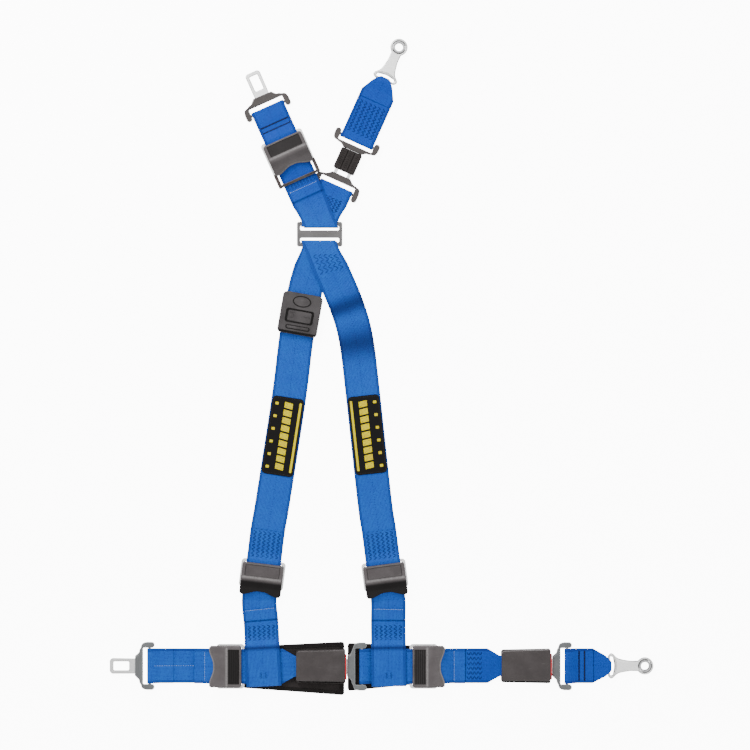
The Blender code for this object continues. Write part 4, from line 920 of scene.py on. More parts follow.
def lapStraps():
    fixedReach = adjuster["bar"] / 2 + barRim
    reach = lap["mouthGap"] + tongue["start"] + tongue["body"]
    centreBar, rightBar = lap["centreMouth"] + reach, lap["rightMouth"] + reach

    def line(widths=((0.0, width),)):
        return Route([(-400.0, lap["y"]), (400.0, lap["y"])], widths, start=-400.0)

    bar = lap["leftTongue"]
    corners = [(bar + 34.0, double, 0.0), (bar + 14.0, double, 6.0), (bar + 1.0, lowZ + tongueRise, 4.0)]
    corners += fold(bar, lowZ, tongueRise, tongueRise, -1, -1)
    corners += [(leftAdjust - 44.0, single, 12.0), (leftAdjust - 14.0, lapAdjustZ - slideRise, 12.0)]
    corners += fold(leftAdjust, lapAdjustZ, slideRise, slideRise, 1)
    corners += tail(leftAdjust, lapAdjustZ + slideRise, leftAdjust - 40.0, double + 1.4, -269.0, -1)
    strap("web_lap_left_end", line(), corners)

    bar = lap["centreMouth"] - barU
    widths = ((bar - 24.0, width), (bar - 6.0, webbing["narrow"]))
    first = (leftAdjust + adjuster["fixed"], lapAdjustZ, fixedReach, fixedRise)
    last = (bar, centreZ + channelZ, barReach, channelRise)
    strap("web_lap_left_inner", line(widths), band(first, last, bandLow, bandHigh, bar - 28.0, 12.0))
    first = (centreBar, centreZ, tongueRise, tongueRise)
    last = (rightAdjust - adjuster["fixed"], lapAdjustZ, fixedReach, fixedRise)
    strap("web_lap_right_inner", line(), band(first, last, bandLow, bandHigh, centreBar + 20.0, 12.0))

    bar, z = lap["rightMouth"] - barU, rightZ + channelZ
    widths = ((bar - 24.0, width), (bar - 6.0, webbing["narrow"]))
    corners = [(121.5, double, 0.0), (bar - 14.0, double, 6.0), (bar - 2.0, z + channelRise, 4.0)]
    corners += fold(bar, z, barReach, channelRise, 1, -1)
    corners += [(bar - 2.0, z - channelRise, 4.0), (bar - 14.0, single, 6.0),
                (rightAdjust + 44.0, single, 12.0)]
    corners += [(rightAdjust + 14.0, lapAdjustZ - slideRise, 12.0)]
    corners += fold(rightAdjust, lapAdjustZ, slideRise, slideRise, -1)
    corners += tail(rightAdjust, lapAdjustZ + slideRise, rightAdjust + 37.0, double + 1.0, 120.0, 1)
    strap("web_lap_right_outer", line(widths), corners)

    bar = lap["eye"] - eye["reach"]
    widths = eyeTip(bar)
    first = (rightBar, rightZ, tongueRise, tongueRise)
    last = (bar, lowZ, eye["bar"] / 2 + barRim + 0.6, slideRise)
    strap("web_lap_anchor", line(widths), band(first, last, single, double, bar - 22.0))
    return centreBar, rightBar


slideAt = {side: shoulderStraps(side, side == "right") for side in ("left", "right")}
armStraps()
centreBar, rightBar = lapStraps()
print("straps made", len(straps))


# stitches

sewing = {"lift": 0.1, "between": 0.06, "around": 6, "stops": (0.0, 0.12, 0.35, 0.65, 0.88, 1.0),
          "swell": (0.25, 0.75, 1.0, 1.0, 0.75, 0.25), "tackHalf": 22.0, "tackDepth": 3.2, "tackPace": 1.15,
          "seamHalf": 21.0, "seamPace": 2.5, "alongPace": 3.4}


def onStrap(name, s, v):
    # points on the upper face of a strap: at distance s, v across, over its top layer
    web = straps[name]
    a, b, za, zb = web["s"][:-1], web["s"][1:], web["z"][:-1], web["z"][1:]
    span = np.where(np.abs(b - a) < 1e-6, 1e-6, b - a)
    share = (s[:, None] - a) / span
    z = np.where((share >= 0) & (share <= 1), za + (zb - za) * np.clip(share, 0, 1), -1e3).max(1)
    row, _ = web["route"].row(s)
    return np.column_stack([web["route"].place(s) + row * v[:, None], z + tapeThick / 2 + sewing["lift"]])


def grains(start, end, radius):
    # one stitch from each start to each end: rings whose radius swells in the middle
    t, swell, around = np.array(sewing["stops"]), np.array(sewing["swell"]), sewing["around"]
    ahead = end - start
    ahead = ahead / np.linalg.norm(ahead, axis=1)[:, None]
    side = np.cross(ahead, (0.0, 0.0, 1.0))
    up = np.cross(side, ahead)
    a = np.linspace(0, 2 * math.pi, around, endpoint=False)
    centre = start[:, None] + (end - start)[:, None] * t[None, :, None]
    c, s = (np.array(values)[None, None, :, None] for values in (np.cos(a), np.sin(a)))
    ring = side[:, None, None] * c + up[:, None, None] * s * 0.8
    rings = centre[:, :, None] + ring * (radius * swell)[None, :, None, None]
    _, faces = ringSolid(lay(rings[0]))
    one = len(t) * around + 2
    caps = np.stack([rings[:, 0].mean(1), rings[:, -1].mean(1)], 1)
    allVerts = np.concatenate([rings.reshape(len(start), -1, 3), caps], 1)
    offsets = (np.arange(len(start)) * one)[:, None, None]
    return lay(allVerts.reshape(-1, 3)), [(group[None] + offsets).reshape(-1, group.shape[1])
                                          for group in faces]


def zigzag(s0, s1, columns, half=20.0, period=5.4, swing=2.6):
    # seams that run along the strap, side by side, each swinging left and right
    count = int((s1 - s0) / (period / 2)) + 1
    s = s0 + np.arange(count) * period / 2
    swingV = np.where(np.arange(count) % 2, swing, -swing)
    lines = [(s, v + swingV) for v in np.linspace(-half + swing, half - swing, columns)]
    return [(np.stack([a[:-1], a[1:]], 1), np.stack([b[:-1], b[1:]], 1)) for a, b in lines]


def tackRow(s):
    # a dense tack across the strap: close slanted stitches
    v = np.arange(-sewing["tackHalf"], sewing["tackHalf"], sewing["tackPace"])
    swing = np.where(np.arange(len(v)) % 2, 0.5, -0.5) * sewing["tackDepth"]
    return [(np.stack([s + swing[:-1], s + swing[1:]], 1), np.stack([v[:-1], v[1:]], 1))]


def seamRow(s):
    # a straight row across the strap
    v = np.arange(-sewing["seamHalf"], sewing["seamHalf"], sewing["seamPace"])
    return [(np.full((len(v), 2), float(s)), np.stack([v, v + sewing["seamPace"] * 0.72], 1))]


def seamAlong(s0, s1, v):
    # a straight row along the strap
    s = np.arange(s0, s1, sewing["alongPace"])
    return [(np.stack([s, s + sewing["alongPace"] * 0.6], 1), np.full((len(s), 2), float(v)))]


def stitches(name, strapName, runs, finish, radius):
    s = np.vstack([run[0] for run in runs])
    v = np.vstack([run[1] for run in runs])
    start, end = (onStrap(strapName, s[:, k], v[:, k]) for k in (0, 1))
    spare = (end - start) * sewing["between"]
    a, b = start + spare, end - spare
    return piece(name, grains(a, b, radius), straps[strapName]["body"], finish)


reachOf = {side: straps["web_shoulder_" + side]["route"].length for side in ("left", "right")}
# name: strap, runs of stitches, thread and its radius
sewn = {
    "stitch_shoulder_left": ("shoulder_left", zigzag(reachOf["left"] - 46, reachOf["left"] - 4, 6),
                             "darkThread", 0.42),
    "stitch_shoulder_right": ("shoulder_right", zigzag(reachOf["right"] - 46, reachOf["right"] - 4, 6),
                              "darkThread", 0.42),
    "stitch_yoke_right": ("shoulder_right", zigzag(15.0, 46.0, 5, 18.0, 8.0, 3.4), "darkThread", 0.32),
    "stitch_waist_left": ("shoulder_lower_left", zigzag(37.0, 61.0, 6), "darkThread", 0.42),
    "hem_shoulder_left": ("shoulder_lower_left", seamRow(81.4), "paleThread", 0.22),
    "stitch_loop_left": ("shoulder_lower_left", zigzag(-17.0, -7.0, 2, 5.0, 3.6, 1.7), "darkThread", 0.26),
    "stitch_waist_right": ("shoulder_lower_right", zigzag(37.0, 61.0, 6), "darkThread", 0.42),
    "hem_shoulder_right": ("shoulder_lower_right", seamRow(81.4), "paleThread", 0.22),
    "stitch_loop_right": ("shoulder_lower_right", zigzag(-17.0, -7.0, 2, 5.0, 3.6, 1.7), "darkThread", 0.26),
    "hem_upper": ("upper_adjust", seamRow(57.0), "paleThread", 0.22),
    "stitch_upper_adjust": ("upper_adjust", zigzag(60.5, 68.5, 9, 21.0, 4.0, 1.9), "darkThread", 0.26),
    "tack_upper_link": ("upper_link", tackRow(150.6) + tackRow(158.4), "blackThread", 0.5),
    "stitch_upper_anchor": ("upper_anchor", zigzag(140.0, 190.0, 6), "darkThread", 0.42),
    "stitch_upper_yoke": ("upper_yoke", zigzag(18.0, 44.0, 6, 17.0), "darkThread", 0.42),
    "stitch_lap_right": ("lap_right_outer", zigzag(123.0, 147.0, 6), "darkThread", 0.42),
    "hem_lap_right": ("lap_right_outer", seamRow(104.5), "paleThread", 0.22),
    "tack_lap_anchor": ("lap_anchor", tackRow(284.5) + tackRow(292.5), "blackThread", 0.5),
    "hem_lap_left": ("lap_left_end", seamRow(-254.5), "paleThread", 0.22),
    "line_lap_left": ("lap_left_end", seamAlong(-327.0, -272.0, 0.0), "paleThread", 0.22),
}
for name, (strapName, runs, thread, radius) in sewn.items():
    stitches(name, "web_" + strapName, runs, thread, radius)
print("stitches made")


# adjusters


def smooth(x, start, end):
    t = np.clip((x - start) / (end - start), 0.0, 1.0)
    return t * t * (3 - 2 * t)


def leverCover(prefix, node, at, turn, ribs, dark):
    # rows run from the scooped free edge to the hinge end, columns from skirt to skirt.
    # height: a flat back, a ridge, and a fall to the free edge, less a recess in the back
    look = {"round": 2.4, "corner": 4.0, "fall": 3.4, "recess": 0.9, "skin": 1.6, "rib": 0.38, "ribPitch": 2.7}
    half, low, r = adjuster["coverWidth"] / 2, adjuster["thick"] / 2 + 0.7, look["round"]
    theta = np.radians(np.linspace(0, 90, 7))
    reach = np.concatenate([np.full(6, half), half - r + r * np.cos(theta)[1:]])
    drop = np.concatenate([np.full(6, -1.0), r * (1 - np.sin(theta)[1:])])
    climb = np.concatenate([np.linspace(0, 1, 6), np.ones(6)])
    flat = np.linspace(-(half - r), half - r, 74)[1:-1]
    v = np.concatenate([-reach, flat, reach[::-1]])
    drop = np.concatenate([drop, np.zeros(len(flat)), drop[::-1]])
    climb = np.concatenate([climb, np.ones(len(flat)), climb[::-1]])
    closing = 0.9 + 0.1 * np.sin(np.radians(np.linspace(0, 90, 12)))[1:]
    a = np.concatenate([np.linspace(0, 0.9, 88), closing, [1.0]])
    side = np.abs(v) / half
    freeEdge = adjuster["free"] + adjuster["scoop"] * (1 - smooth(side, 0.1, 0.86))
    freeEdge += 2.6 * smooth(side, 0.88, 1.0) ** 2
    over = np.clip((np.abs(v) - (half - look["corner"])) / look["corner"], 0, 1)
    hingeEdge = adjuster["end"] - look["corner"] * (1 - np.sqrt(1 - over**2)) * 0.9
    u = freeEdge[None] + (hingeEdge - freeEdge)[None] * a[:, None]
    across = np.broadcast_to(v, u.shape)
    top = adjuster["top"] - look["fall"] * smooth(-u, 3.0, 17.0)
    top = top - 0.5 * smooth(-u, -14.0, -2.0) * smooth(u, -6, 2)
    top = top - 0.25 * (across / half) ** 2
    inRecess = smooth(u, 0.2, 1.2) * smooth(-u, -17.0, -16.0) * smooth(-np.abs(across), -25.2, -24.2)
    notch = 0.5 - 0.5 * np.cos(2 * math.pi * u / look["ribPitch"])
    top = top - inRecess * (look["recess"] - (look["rib"] * notch if ribs else 0.0))
    top = top - 0.5 * smooth(-(u - freeEdge[None]), -1.6, 0.0)
    endRound = np.clip((u - (hingeEdge[None] - 2.5)) / 2.5, 0, 1)
    top = top - 2.5 * (1 - np.sqrt(1 - np.minimum(endRound, 1.0) ** 2))
    wall = np.maximum(top - r - low, 0.0)
    z = np.where(drop[None] < 0, low + wall * climb[None], np.maximum(top - drop[None], low))
    z[-1] = low + 0.6
    outer = np.stack([u, across, z], -1)
    skin = look["skin"]
    inner = np.stack([np.minimum(u, (hingeEdge - skin)[None]), across * (half - adjuster["skirt"]) / half,
                      np.maximum(np.where(drop[None] < 0, z, z - skin), low)], -1)
    inner[..., 2] = np.where(climb[None] < 1, z, inner[..., 2])
    inner[-1, :, 2] = low + 0.6
    verts, faces = shell(lay(outer, at, turn), lay(inner, at, turn))
    # painted highlight with rubbed wear: lighter along the ridge and along the free edge
    crest = np.exp(-((u + 1.6) / 1.5) ** 2) * (np.abs(across) < half - 2)
    rim = np.exp(-((u - freeEdge[None] - 0.8) / 0.8) ** 2)
    border = smooth(inRecess, 0.02, 0.3) * smooth(-inRecess, -0.98, -0.7)
    wornAndHighlight = np.clip(0.55 * crest + 0.5 * rim, 0, 1)
    # painted shade: darker in the recess, round its border, between the ribs, on the fall to the free edge, on
    # the skirts and all over the underside
    deepAndShade = inRecess * dark[0] + smooth(-u, 3.0, 9.0) * dark[1] + (drop[None] < 0) * 0.5 + 0.9 * border
    if ribs:
        deepAndShade = np.clip(deepAndShade + inRecess * (1 - notch) * 0.4, 0, 1)
    marks = {"wornAndHighlight": np.append(wornAndHighlight, 0 * wornAndHighlight), "deepAndShade": np.append(np.clip(deepAndShade, 0, 1), np.ones(deepAndShade.size))}
    body = bodyOf(node)
    return piece(prefix + "_cover", (verts, faces), body, "cover", (node,), None, marks)


def adjusterSet(prefix, at, turn, keeper=False, ribs=False, dark=(0.4, 0.0)):
    half, window = adjuster["width"] / 2, adjuster["width"] / 2 - adjuster["rail"]
    fixedOut = adjuster["fixed"] + adjuster["bar"] / 2
    front = adjuster["keeper"] - adjuster["bar"] / 2 if keeper else -adjuster["front"]
    bar, thick = adjuster["bar"], adjuster["thick"]
    if keeper:
        # the rails run on to the keeper and the front is open; the keeper bar steps over
        loops = [[(front + 1, -half, 1.5), (fixedOut, -half, 5.0), (fixedOut, half, 5.0),
                  (front + 1, half, 1.5), (front + 1, window, 1.0), (fixedOut - bar, window, 1.5),
                  (fixedOut - bar, -window, 1.5), (front + 1, -window, 1.0)]]
    else:
        loops = [sides(front, fixedOut, half, 5.0), sides(front + bar, fixedOut - bar, window, 1.5)]
    solids = [plate(loops, -thick / 2, thick / 2, 0.6, at, turn)]
    skirtIn = adjuster["coverWidth"] / 2 - adjuster["skirt"]
    earIn, earOut = width / 2 + gap + 0.7, skirtIn - gap
    hingeU, hingeZ, ear = adjuster["hingeU"], adjuster["hingeZ"], adjuster["ear"]
    crest = arcPoints((hingeU, hingeZ), ear, 0, 180, 16)
    profile = even(rounded([(hingeU - ear, 0.0, 0), (hingeU + ear, 0.0, 0), *crest]), 1.0)
    for way in (-1, 1):
        rings = np.array([level(profile, way * v)[:, [0, 2, 1]] for v in (earIn, earOut)])
        solids.append(ringSolid(lay(rings, at, turn)))
        pin = [(hingeU, way * v, hingeZ) for v in (earIn + 0.5, adjuster["coverWidth"] / 2 - 0.2)]
        solids.append(rod(*pin, adjuster["pin"], at, turn))
    node = prefix + "_frame"
    body = bodyOf(node)
    flatShade(piece(prefix + "_bail", joined(solids), body, "frameSteel", (node,)))
    if keeper:
        clear = yokeOuter - keeperZ + pitch + tapeThick / 2 + gap + 0.4
        bars = [block(sides(front, front + bar, half - 0.5, 1.2), clear, clear + thick, 0.9, at=at, turn=turn)]
        for way in (-1, 1):
            rail, skin = way * (half + window) / 2, thick / 2 + 0.25
            outline = sides(front - 0.2, front + 22.0, adjuster["rail"] / 2 + 0.25, 1.6, rail)
            bars.append(block(outline, -skin, skin, 0.6, at=at, turn=turn))
            outline = sides(front + 0.3, front + bar - 0.3, 2.0, 0.8, rail)
            bars.append(block(outline, 0.0, clear + 1.5, 0.4, at=at, turn=turn))
        piece(prefix + "_keeper", joined(bars), body, "keeper")

    blockIn, blockOut = width / 2 + gap + 0.2, window - gap
    tab = thick / 2 + gap
    solids = [rod((0, -blockIn - 0.5, 0), (0, blockIn + 0.5, 0), adjuster["slideRadius"], at, turn)]
    for way in (-1, 1):
        for inner, outer, low in ((blockIn, blockOut, -2.0), (blockOut - 0.5, skirtIn - gap, tab)):
            outline = sides(-3.2, 3.2, (outer - inner) / 2, 0.4, way * (outer + inner) / 2)
            solids.append(block(outline, low, tab + 1.0, 0.3, at=at, turn=turn, step=3))
    node = prefix + "_slide_bar"
    piece(prefix + "_bar", joined(solids), bodyOf(node), "bar", (node,))
    leverCover(prefix, prefix + "_lever", at, turn, ribs, dark)


# dark: shares of painted shade in the recess and on the fall to the free edge
for side in ("left", "right"):
    adjusterSet("shoulder_" + side, (*slideAt[side], lowZ), 90.0 - shoulders[side]["turn"], dark=(0.2, 1.0))
adjusterSet("upper", (*along("left", arm["keeperSlide"]), keeperZ), leftTurn, keeper=True, dark=(0.85, 0.4))
adjusterSet("lap_left", (leftAdjust, lap["y"], lapAdjustZ), 0.0, ribs=True, dark=(0.9, 0.0))
adjusterSet("lap_right", (rightAdjust, lap["y"], lapAdjustZ), 180.0, ribs=True, dark=(0.7, 0.0))
print("adjusters made")


# yoke slide, tongues, eye plates


def yoke():
    mid, slot = slide["midBar"] / 2, slide["slot"]
    slotHalf = (webbing["bunched"] / math.cos(math.radians(webbing["armAngle"])) + 6.1) / 2
    half, c = slotHalf + 4.8, slide["corner"]
    top, bottom = mid + slot + slide["topBar"], -mid - slot - slide["lowBar"]
    loops = [[(-half, bottom, c), (half, bottom, c), (half, top, c), (-half, top, c)]]
    loops += [sides(-slotHalf, slotHalf, slot / 2, 2.0, y + slot / 2) for y in (mid, -mid - slot)]
    solid = plate(loops, -slide["thick"] / 2, slide["thick"] / 2, slide["edge"],
                  (slide["x"], slide["y"], yokeZ))
    flatShade(piece("yoke_plate", solid, "harness", "yoke", ("yoke_slide",)))


def mouldSide(start, length, lobe, notch):
    # half of a mould's outline, from its nose round a lobe into the notch for the strap
    nose, half = tongue["bladeWidth"] / 2 + 3.0, tongue["width"] / 2
    end, r = start + length, (half - notch) / 2 * 0.96
    return [(end, nose, 2.0), (end - length * 0.55, nose + 5.5, 12.0), (start + 1.5, half - 1.5, 8.0),
            (start - 5.5, half, 6.0), (-lobe, half, r), (-lobe, notch, r), (start, notch, 1.6)]


def mirrored(half):
    return half + [(u, -v, r) for u, v, r in reversed(half)]


def tongueSet(prefix, at, turn, start, length, blade, window=True, finish="grey"):
    notch, end = width / 2 + 1.2, start + length
    ring, mould = tongue["ring"] / 2, tongue["mould"] / 2
    solids = [plate([mirrored(mouldSide(start, length, tongue["lobe"], notch))], -ring, ring, 1.0, at, turn),
              rod((0, -notch - 3, 0), (0, notch + 3, 0), tongue["bar"], at, turn)]
    node, plateNode = prefix + "_mould", prefix + "_plate"
    body = bodyOf(node)
    flatShade(piece(prefix + "_frame_mould", joined(solids), body, finish, (node,)))
    bodyHalf, bw = notch + 2.0, tongue["bladeWidth"] / 2
    outline = mirrored([(end - 0.6, bw + 2.0, 1.9), (start + length * 0.5, bw + 6.0, 6.0),
                        (start + length * 0.4, bodyHalf - 3.0, 6.0),
                        (start + 0.4, bodyHalf, 2.0)])
    solid = plate([outline], -mould, mould, 0.8, at, turn)
    raised = piece(prefix + "_body_mould", solid, body, finish)
    pocket = tongue["bladeThick"] / 2 + 0.05
    low, high = (end - tongue["root"] - 0.1, -bw - 0.05, -pocket), (end + 5, bw + 0.05, pocket)
    cut(raised, [boxTool(low, high, at, turn)])
    tip = end + blade
    loops = [[(end - tongue["root"], -bw, 1.6), (tip, -bw, 5.0), (tip, bw, 5.0),
              (end - tongue["root"], bw, 1.6)]]
    if window:
        far = tip - tongue["windowTip"]
        loops.append(sides(far - tongue["windowLength"], far, tongue["windowWidth"] / 2, 1.8))
    thick = tongue["bladeThick"] / 2
    solid = plate(loops, -thick, thick, 1.0, at, turn)
    flatShade(piece(prefix + "_blade", solid, body, "steel", (plateNode,)))


def eyeSet(prefix, at, turn):
    # outline: a foot with a D slot for the strap, a waisted neck and a bolt ring
    half, inner = (eye["slotWidth"] + 10.0) / 2, eye["bar"] / 2
    side = [(-inner, half - 4.0, 1.9), (inner + 0.5, half, 4.0), (inner + 4.0, half - 0.6, 5.0),
            (12.0, half - 7.4, 14.0), (21.0, eye["neck"] / 2 + 1.4, 26.0), (31.0, eye["neck"] / 2 - 0.2, 30.0)]
    spread = math.degrees(math.asin(eye["neck"] / 2 / eye["radius"]))
    ring = arcPoints((eye["reach"], 0), eye["radius"], 180 - spread, -180 + spread, 60)
    outline = side + ring + [(u, -v, r) for u, v, r in reversed(side)]
    slotHalf, s = eye["slotWidth"] / 2, eye["slot"]
    slot = [(inner, -slotHalf, 0.9), (inner + s * 0.62, -slotHalf, 3.0), (inner + s, 0.0, 26.0),
            (inner + s * 0.62, slotHalf, 3.0), (inner, slotHalf, 0.9)]
    hole = arcPoints((eye["reach"], 0), eye["bush"] + 0.25, 0, 355, 71)
    t = eye["thick"] / 2
    body = bodyOf(prefix + "_plate")
    solid = plate([outline, slot, hole], -t, t, 1.3, at, turn)
    v = np.linspace(-slotHalf - 1.4, slotHalf + 1.4, 40)
    lip = np.column_stack([inner + s + 2.2 - 5.2 * (v / slotHalf) ** 2 * 0.75, v, np.full(len(v), t - 0.15)])
    solids = [solid, ringSolid(lay(tube(lip, 1.15, 12, 0.6), at, turn))]
    flatShade(piece(prefix + "_anchor", joined(solids), body, "steel", (prefix + "_plate",)))
    loops = [arcPoints((eye["reach"], 0), eye[key], 0, 355, 71) for key in ("bush", "hole")]
    h = eye["bushHeight"] / 2
    solid = plate(loops, -h, h, 0.7, at, turn)
    flatShade(piece(prefix + "_ring", solid, body, "bush", (prefix + "_bush",)))


yoke()
start, length, blade = tongue["start"], tongue["body"], tongue["blade"]
tongueSet("left_tongue", (lap["leftTongue"], lap["y"], lowZ), 180.0, start, length, blade)
tongueSet("upper_tongue", (*along("left", arm["tongueBar"]), lowZ), leftTurn, start, length, blade,
          finish="link")
tongueSet("centre_tongue", (centreBar, lap["y"], centreZ), 180.0, start, length, blade)
tongueSet("right_tongue", (rightBar, lap["y"], rightZ), 180.0, start, length, blade)
tongueSet("link_tongue", (*along("right", arm["linkHigh"]), linkZ), rightTurn + 180.0, tongue["linkStart"],
          tongue["linkBody"], tongue["linkBlade"], False, "link")
eyeSet("right_eye", (lap["eye"] - eye["reach"], lap["y"], lowZ), 0.0)
eyeSet("upper_eye", (*along("right", arm["eye"] - eye["reach"]), lowZ), rightTurn)
print("tongues and eye plates made")


# link, buckles, label block


def linkSet():
    at, turn = (*along("right", arm["linkLow"]), linkZ), rightTurn
    start, notch = tongue["start"], width / 2 + 1.2
    length = arm["linkBlock"] - linkBlock["prongGap"] - arm["linkLow"] - start
    ring = tongue["ring"] / 2
    solids = [plate([mirrored(mouldSide(start, length, tongue["lobe"] + 3.0, notch))], -ring, ring, 1.0, at,
                    turn),
              rod((0, -notch - 3, 0), (0, notch + 3, 0), tongue["bar"], at, turn)]
    flatShade(piece("link_frame_mould", joined(solids), "harness", "link",
                    ("link_low_frame",)))
    end, thick = start + length, tongue["bladeThick"] / 2
    far = end + linkBlock["prongGap"] + linkBlock["depth"] - 0.2
    prong, spread = linkBlock["prong"] / 2, linkBlock["spread"]
    prongs = [block(sides(end - 2, far, prong, 0.8, way * spread), -thick, thick, 0.5, at=at, turn=turn)
              for way in (-1, 1)]
    piece("link_prongs", joined(prongs), "harness", "steel")
    at = (*along("right", arm["linkBlock"]), linkZ)
    low, half, length = -linkZ, linkBlock["width"] / 2, linkBlock["length"]
    top = low + linkBlock["height"]
    solid = block(sides(0.0, length, half, 2.5), low, top - 1.6, 0.8, at=at, turn=turn)
    body = piece("link_block_body", solid, "harness", "deepBlack", ("link_block",))
    slot, reach, bladeHalf = thick + gap, prong + gap, tongue["bladeWidth"] / 2 + gap
    tools = [boxTool((length - tongue["linkBlade"] - 0.5, -bladeHalf, -slot), (length + 5, bladeHalf, slot), at,
                     turn)]
    for way in (-1, 1):
        v = way * spread
        tools.append(boxTool((-5, v - reach, -slot), (linkBlock["depth"] + gap, v + reach, slot), at, turn))
    cut(body, tools)
    ribs = []
    for way in (-1, 0, 1):
        v = way * 10.3
        ribs.append(block(sides(1.4, length - 1.2, 4.6, 1.6, v), top - 2.2, top, 0.8, at=at, turn=turn,
                          step=1.2))
        for row in np.arange(5.0, length - 4.0, 3.0):
            outline = sides(row, row + 1.5, 2.6, 0.6, v)
            ribs.append(block(outline, top - 0.4, top + 0.3, 0.25, at=at, turn=turn, step=1.5))
    piece("link_block_ribs", joined(ribs), "harness", "deepBlack")


def buckleSet(prefix, at):
    # u runs out of the mouth. The front cover is narrower and leaves a lip on one side
    half, back, below, above = buckle["width"] / 2, -buckle["length"], buckle["below"], buckle["above"]
    inner, wall = buckle["channelWidth"] / 2 + gap, buckle["wall"]
    ledge = channelZ - buckle["channelThick"] / 2 - gap
    webHalf, mouthHalf = webbing["narrow"] / 2 + gap + 0.2, tongue["bladeWidth"] / 2 + gap + 0.3
    endWall = back + wall + 0.6
    slot = tongue["bladeThick"] / 2 + gap
    ceiling = above - buckle["roof"]
    lowBody = bodyOf(prefix + "_back")
    outline = [(back, -half + 1.5, 4.0), (0.0, -half, 2.5), (0.0, half, 2.5), (back, half - 1.5, 4.0)]
    solid = block(outline, -below, -gap / 2, 1.4, at=at, step=2.0)
    lower = piece(prefix + "_lower_cover", solid, lowBody, "deepBlack", (prefix + "_back",))
    cut(lower, [boxTool((endWall, -inner, ledge), (-wall, inner, 5), at, 0.0),
                boxTool((back - 5, -webHalf, -below + buckle["floor"]), (endWall + gap + 16.0, webHalf, 5), at,
                        0.0),
                boxTool((-5, -mouthHalf, -slot), (5, mouthHalf, 5), at, 0.0)])
    outline = [(back + 0.6, -20.0, 3.0), (-0.2, -20.8, 2.0), (-0.2, half - 0.4, 2.0),
               (back + 0.6, half - 2.6, 4.5)]
    solid = block(outline, gap / 2, above, 1.7, 0.5, at, 0.0, 2.0, 0.5)
    upper = piece(prefix + "_upper_cover", solid, lowBody, "black", (prefix + "_front",))
    buttonHalf, buttonLow = buckle["buttonWidth"] / 2, tongue["bladeThick"] / 2 + 3 * gap
    cut(upper, [boxTool((endWall, -inner + 0.6, -5), (-wall, inner, ceiling), at, 0.0),
                boxTool((back - 5, -webHalf, -5), (endWall + gap + 1.0, webHalf, channelZ + channelRise + 3.0),
                        at, 0.0),
                boxTool((-5, -mouthHalf, -5), (5, mouthHalf, slot), at, 0.0),
                boxTool((-5, -buttonHalf - gap, buttonLow - gap), (5, buttonHalf + gap, ceiling), at, 0.0)])
    outline = [(back + 3.0, -half + 2.4, 1.5), (-2.0, -half + 1.3, 1.5), (-2.0, -21.6, 1.0),
               (back + 3.0, -21.0, 1.0)]
    piece(prefix + "_lip", block(outline, -gap, 2.6, 0.9, at=at, step=2.0), lowBody,
          "deepBlack")
    node = prefix + "_button"
    outline = sides(buckle["proud"] - buckle["buttonLength"], buckle["proud"], buttonHalf, 0.8)
    solid = block(outline, buttonLow, ceiling - gap, 0.7, at=at, step=2.0)
    piece(prefix + "_push", solid, bodyOf(node), "red", (node,))
    for name, finish in ((prefix + "_channel", "bar"), (prefix + "_latch", "steel")):
        cad = frame["nodes"][name]
        cad.data.materials.clear()
        cad.data.materials.append(finishes[finish])


def labelSet():
    at, turn = (labelBlock["x"], labelBlock["y"], 0.0), labelBlock["turn"]
    half, reach, top = labelBlock["width"] / 2, labelBlock["length"] / 2, labelBlock["height"]
    outline = sides(-half, half, reach, 6.0)
    solid = block(outline, 0.0, top - 0.5, 2.4, 0.6, at, turn, 1.6, 0.8)
    made = piece("label_cover", solid, "harness", "label", ("label_block",))
    slotHalf, floor = width / 2 + 1.0, labelBlock["floor"]
    panel = sides(-20.5, 20.5, 10.25, 3.5, -3.75)
    slotTop = floor + 2 * gap + tapeThick + 0.4
    cut(made, [boxTool((-slotHalf, -reach - 5, floor), (slotHalf, reach + 5, slotTop), at, turn),
               block(panel, top - 1.6, top + 5, 0.3, at=at, turn=turn)])
    a = np.linspace(0, 2 * math.pi, 48, endpoint=False)

    def ellipse(u, v, long, wide):
        return [(u + long * math.cos(t), v + wide * math.sin(t), 0.0) for t in a]

    (ovalLong, ovalWide), ovalV = labelBlock["oval"], labelBlock["ovalV"]
    u, v, r = labelBlock["ring"]
    raised = [block(ellipse(0.0, ovalV, ovalLong, ovalWide), top - 1.4, top - 0.05, 0.7, 0.3, at, turn, 1.5)]
    raised.append(block(sides(-16.0, 16.0, 1.9, 1.6, -20.1), top - 1.6, top, 0.7, at=at, turn=turn, step=1.5))
    raised.append(block(sides(-17.0, 17.0, 7.8, 2.4, -3.8), top - 2.0, top - 1.0, 0.5, 0.2, at, turn, 1.5))
    raised.append(block(ellipse(u, v, r, r), top - 1.4, top - 0.5, 0.5, 0.3, at, turn, 1.2))
    for u, v, length in labelBlock["bars"]:
        raised.append(block(sides(u, u + length, 0.7, 0.5, v), top - 1.4, top - 0.6, 0.3, 0.2, at, turn, 1.0))
    piece("label_relief", joined(raised), "harness", "label")
    # painted shade: dark seats in the groove round the panel, the oval and the pill, and a painted shadow along
    # the lower lip
    shadeSeats = [block([(x * 0.985, y * 0.97 - 0.1, r) for x, y, r in panel], top - 1.9, top - 1.5, 0.1, at=at,
                   turn=turn),
             block(ellipse(0.0, ovalV, ovalLong + 1.3, ovalWide + 1.2), top - 1.2, top - 0.42, 0.1, 0.05, at,
                   turn, 1.5),
             block(sides(-17.4, 17.4, 3.0, 2.6, -20.1), top - 1.2, top - 0.42, 0.1, 0.05, at, turn, 1.5),
             block(sides(-half + 1.6, half - 1.6, 1.65, 1.2, -reach + 2.55), top - 3.0, top - 0.44, 0.4, 0.2,
                   at, turn, 1.5)]
    piece("label_shade_seats", joined(shadeSeats), "harness", "rubber")


linkSet()
buckleSet("centre_buckle", (lap["centreMouth"], lap["y"], centreZ))
buckleSet("right_buckle", (lap["rightMouth"], lap["y"], rightZ))
labelSet()
print("link, buckles and label block made")


# patches and pads


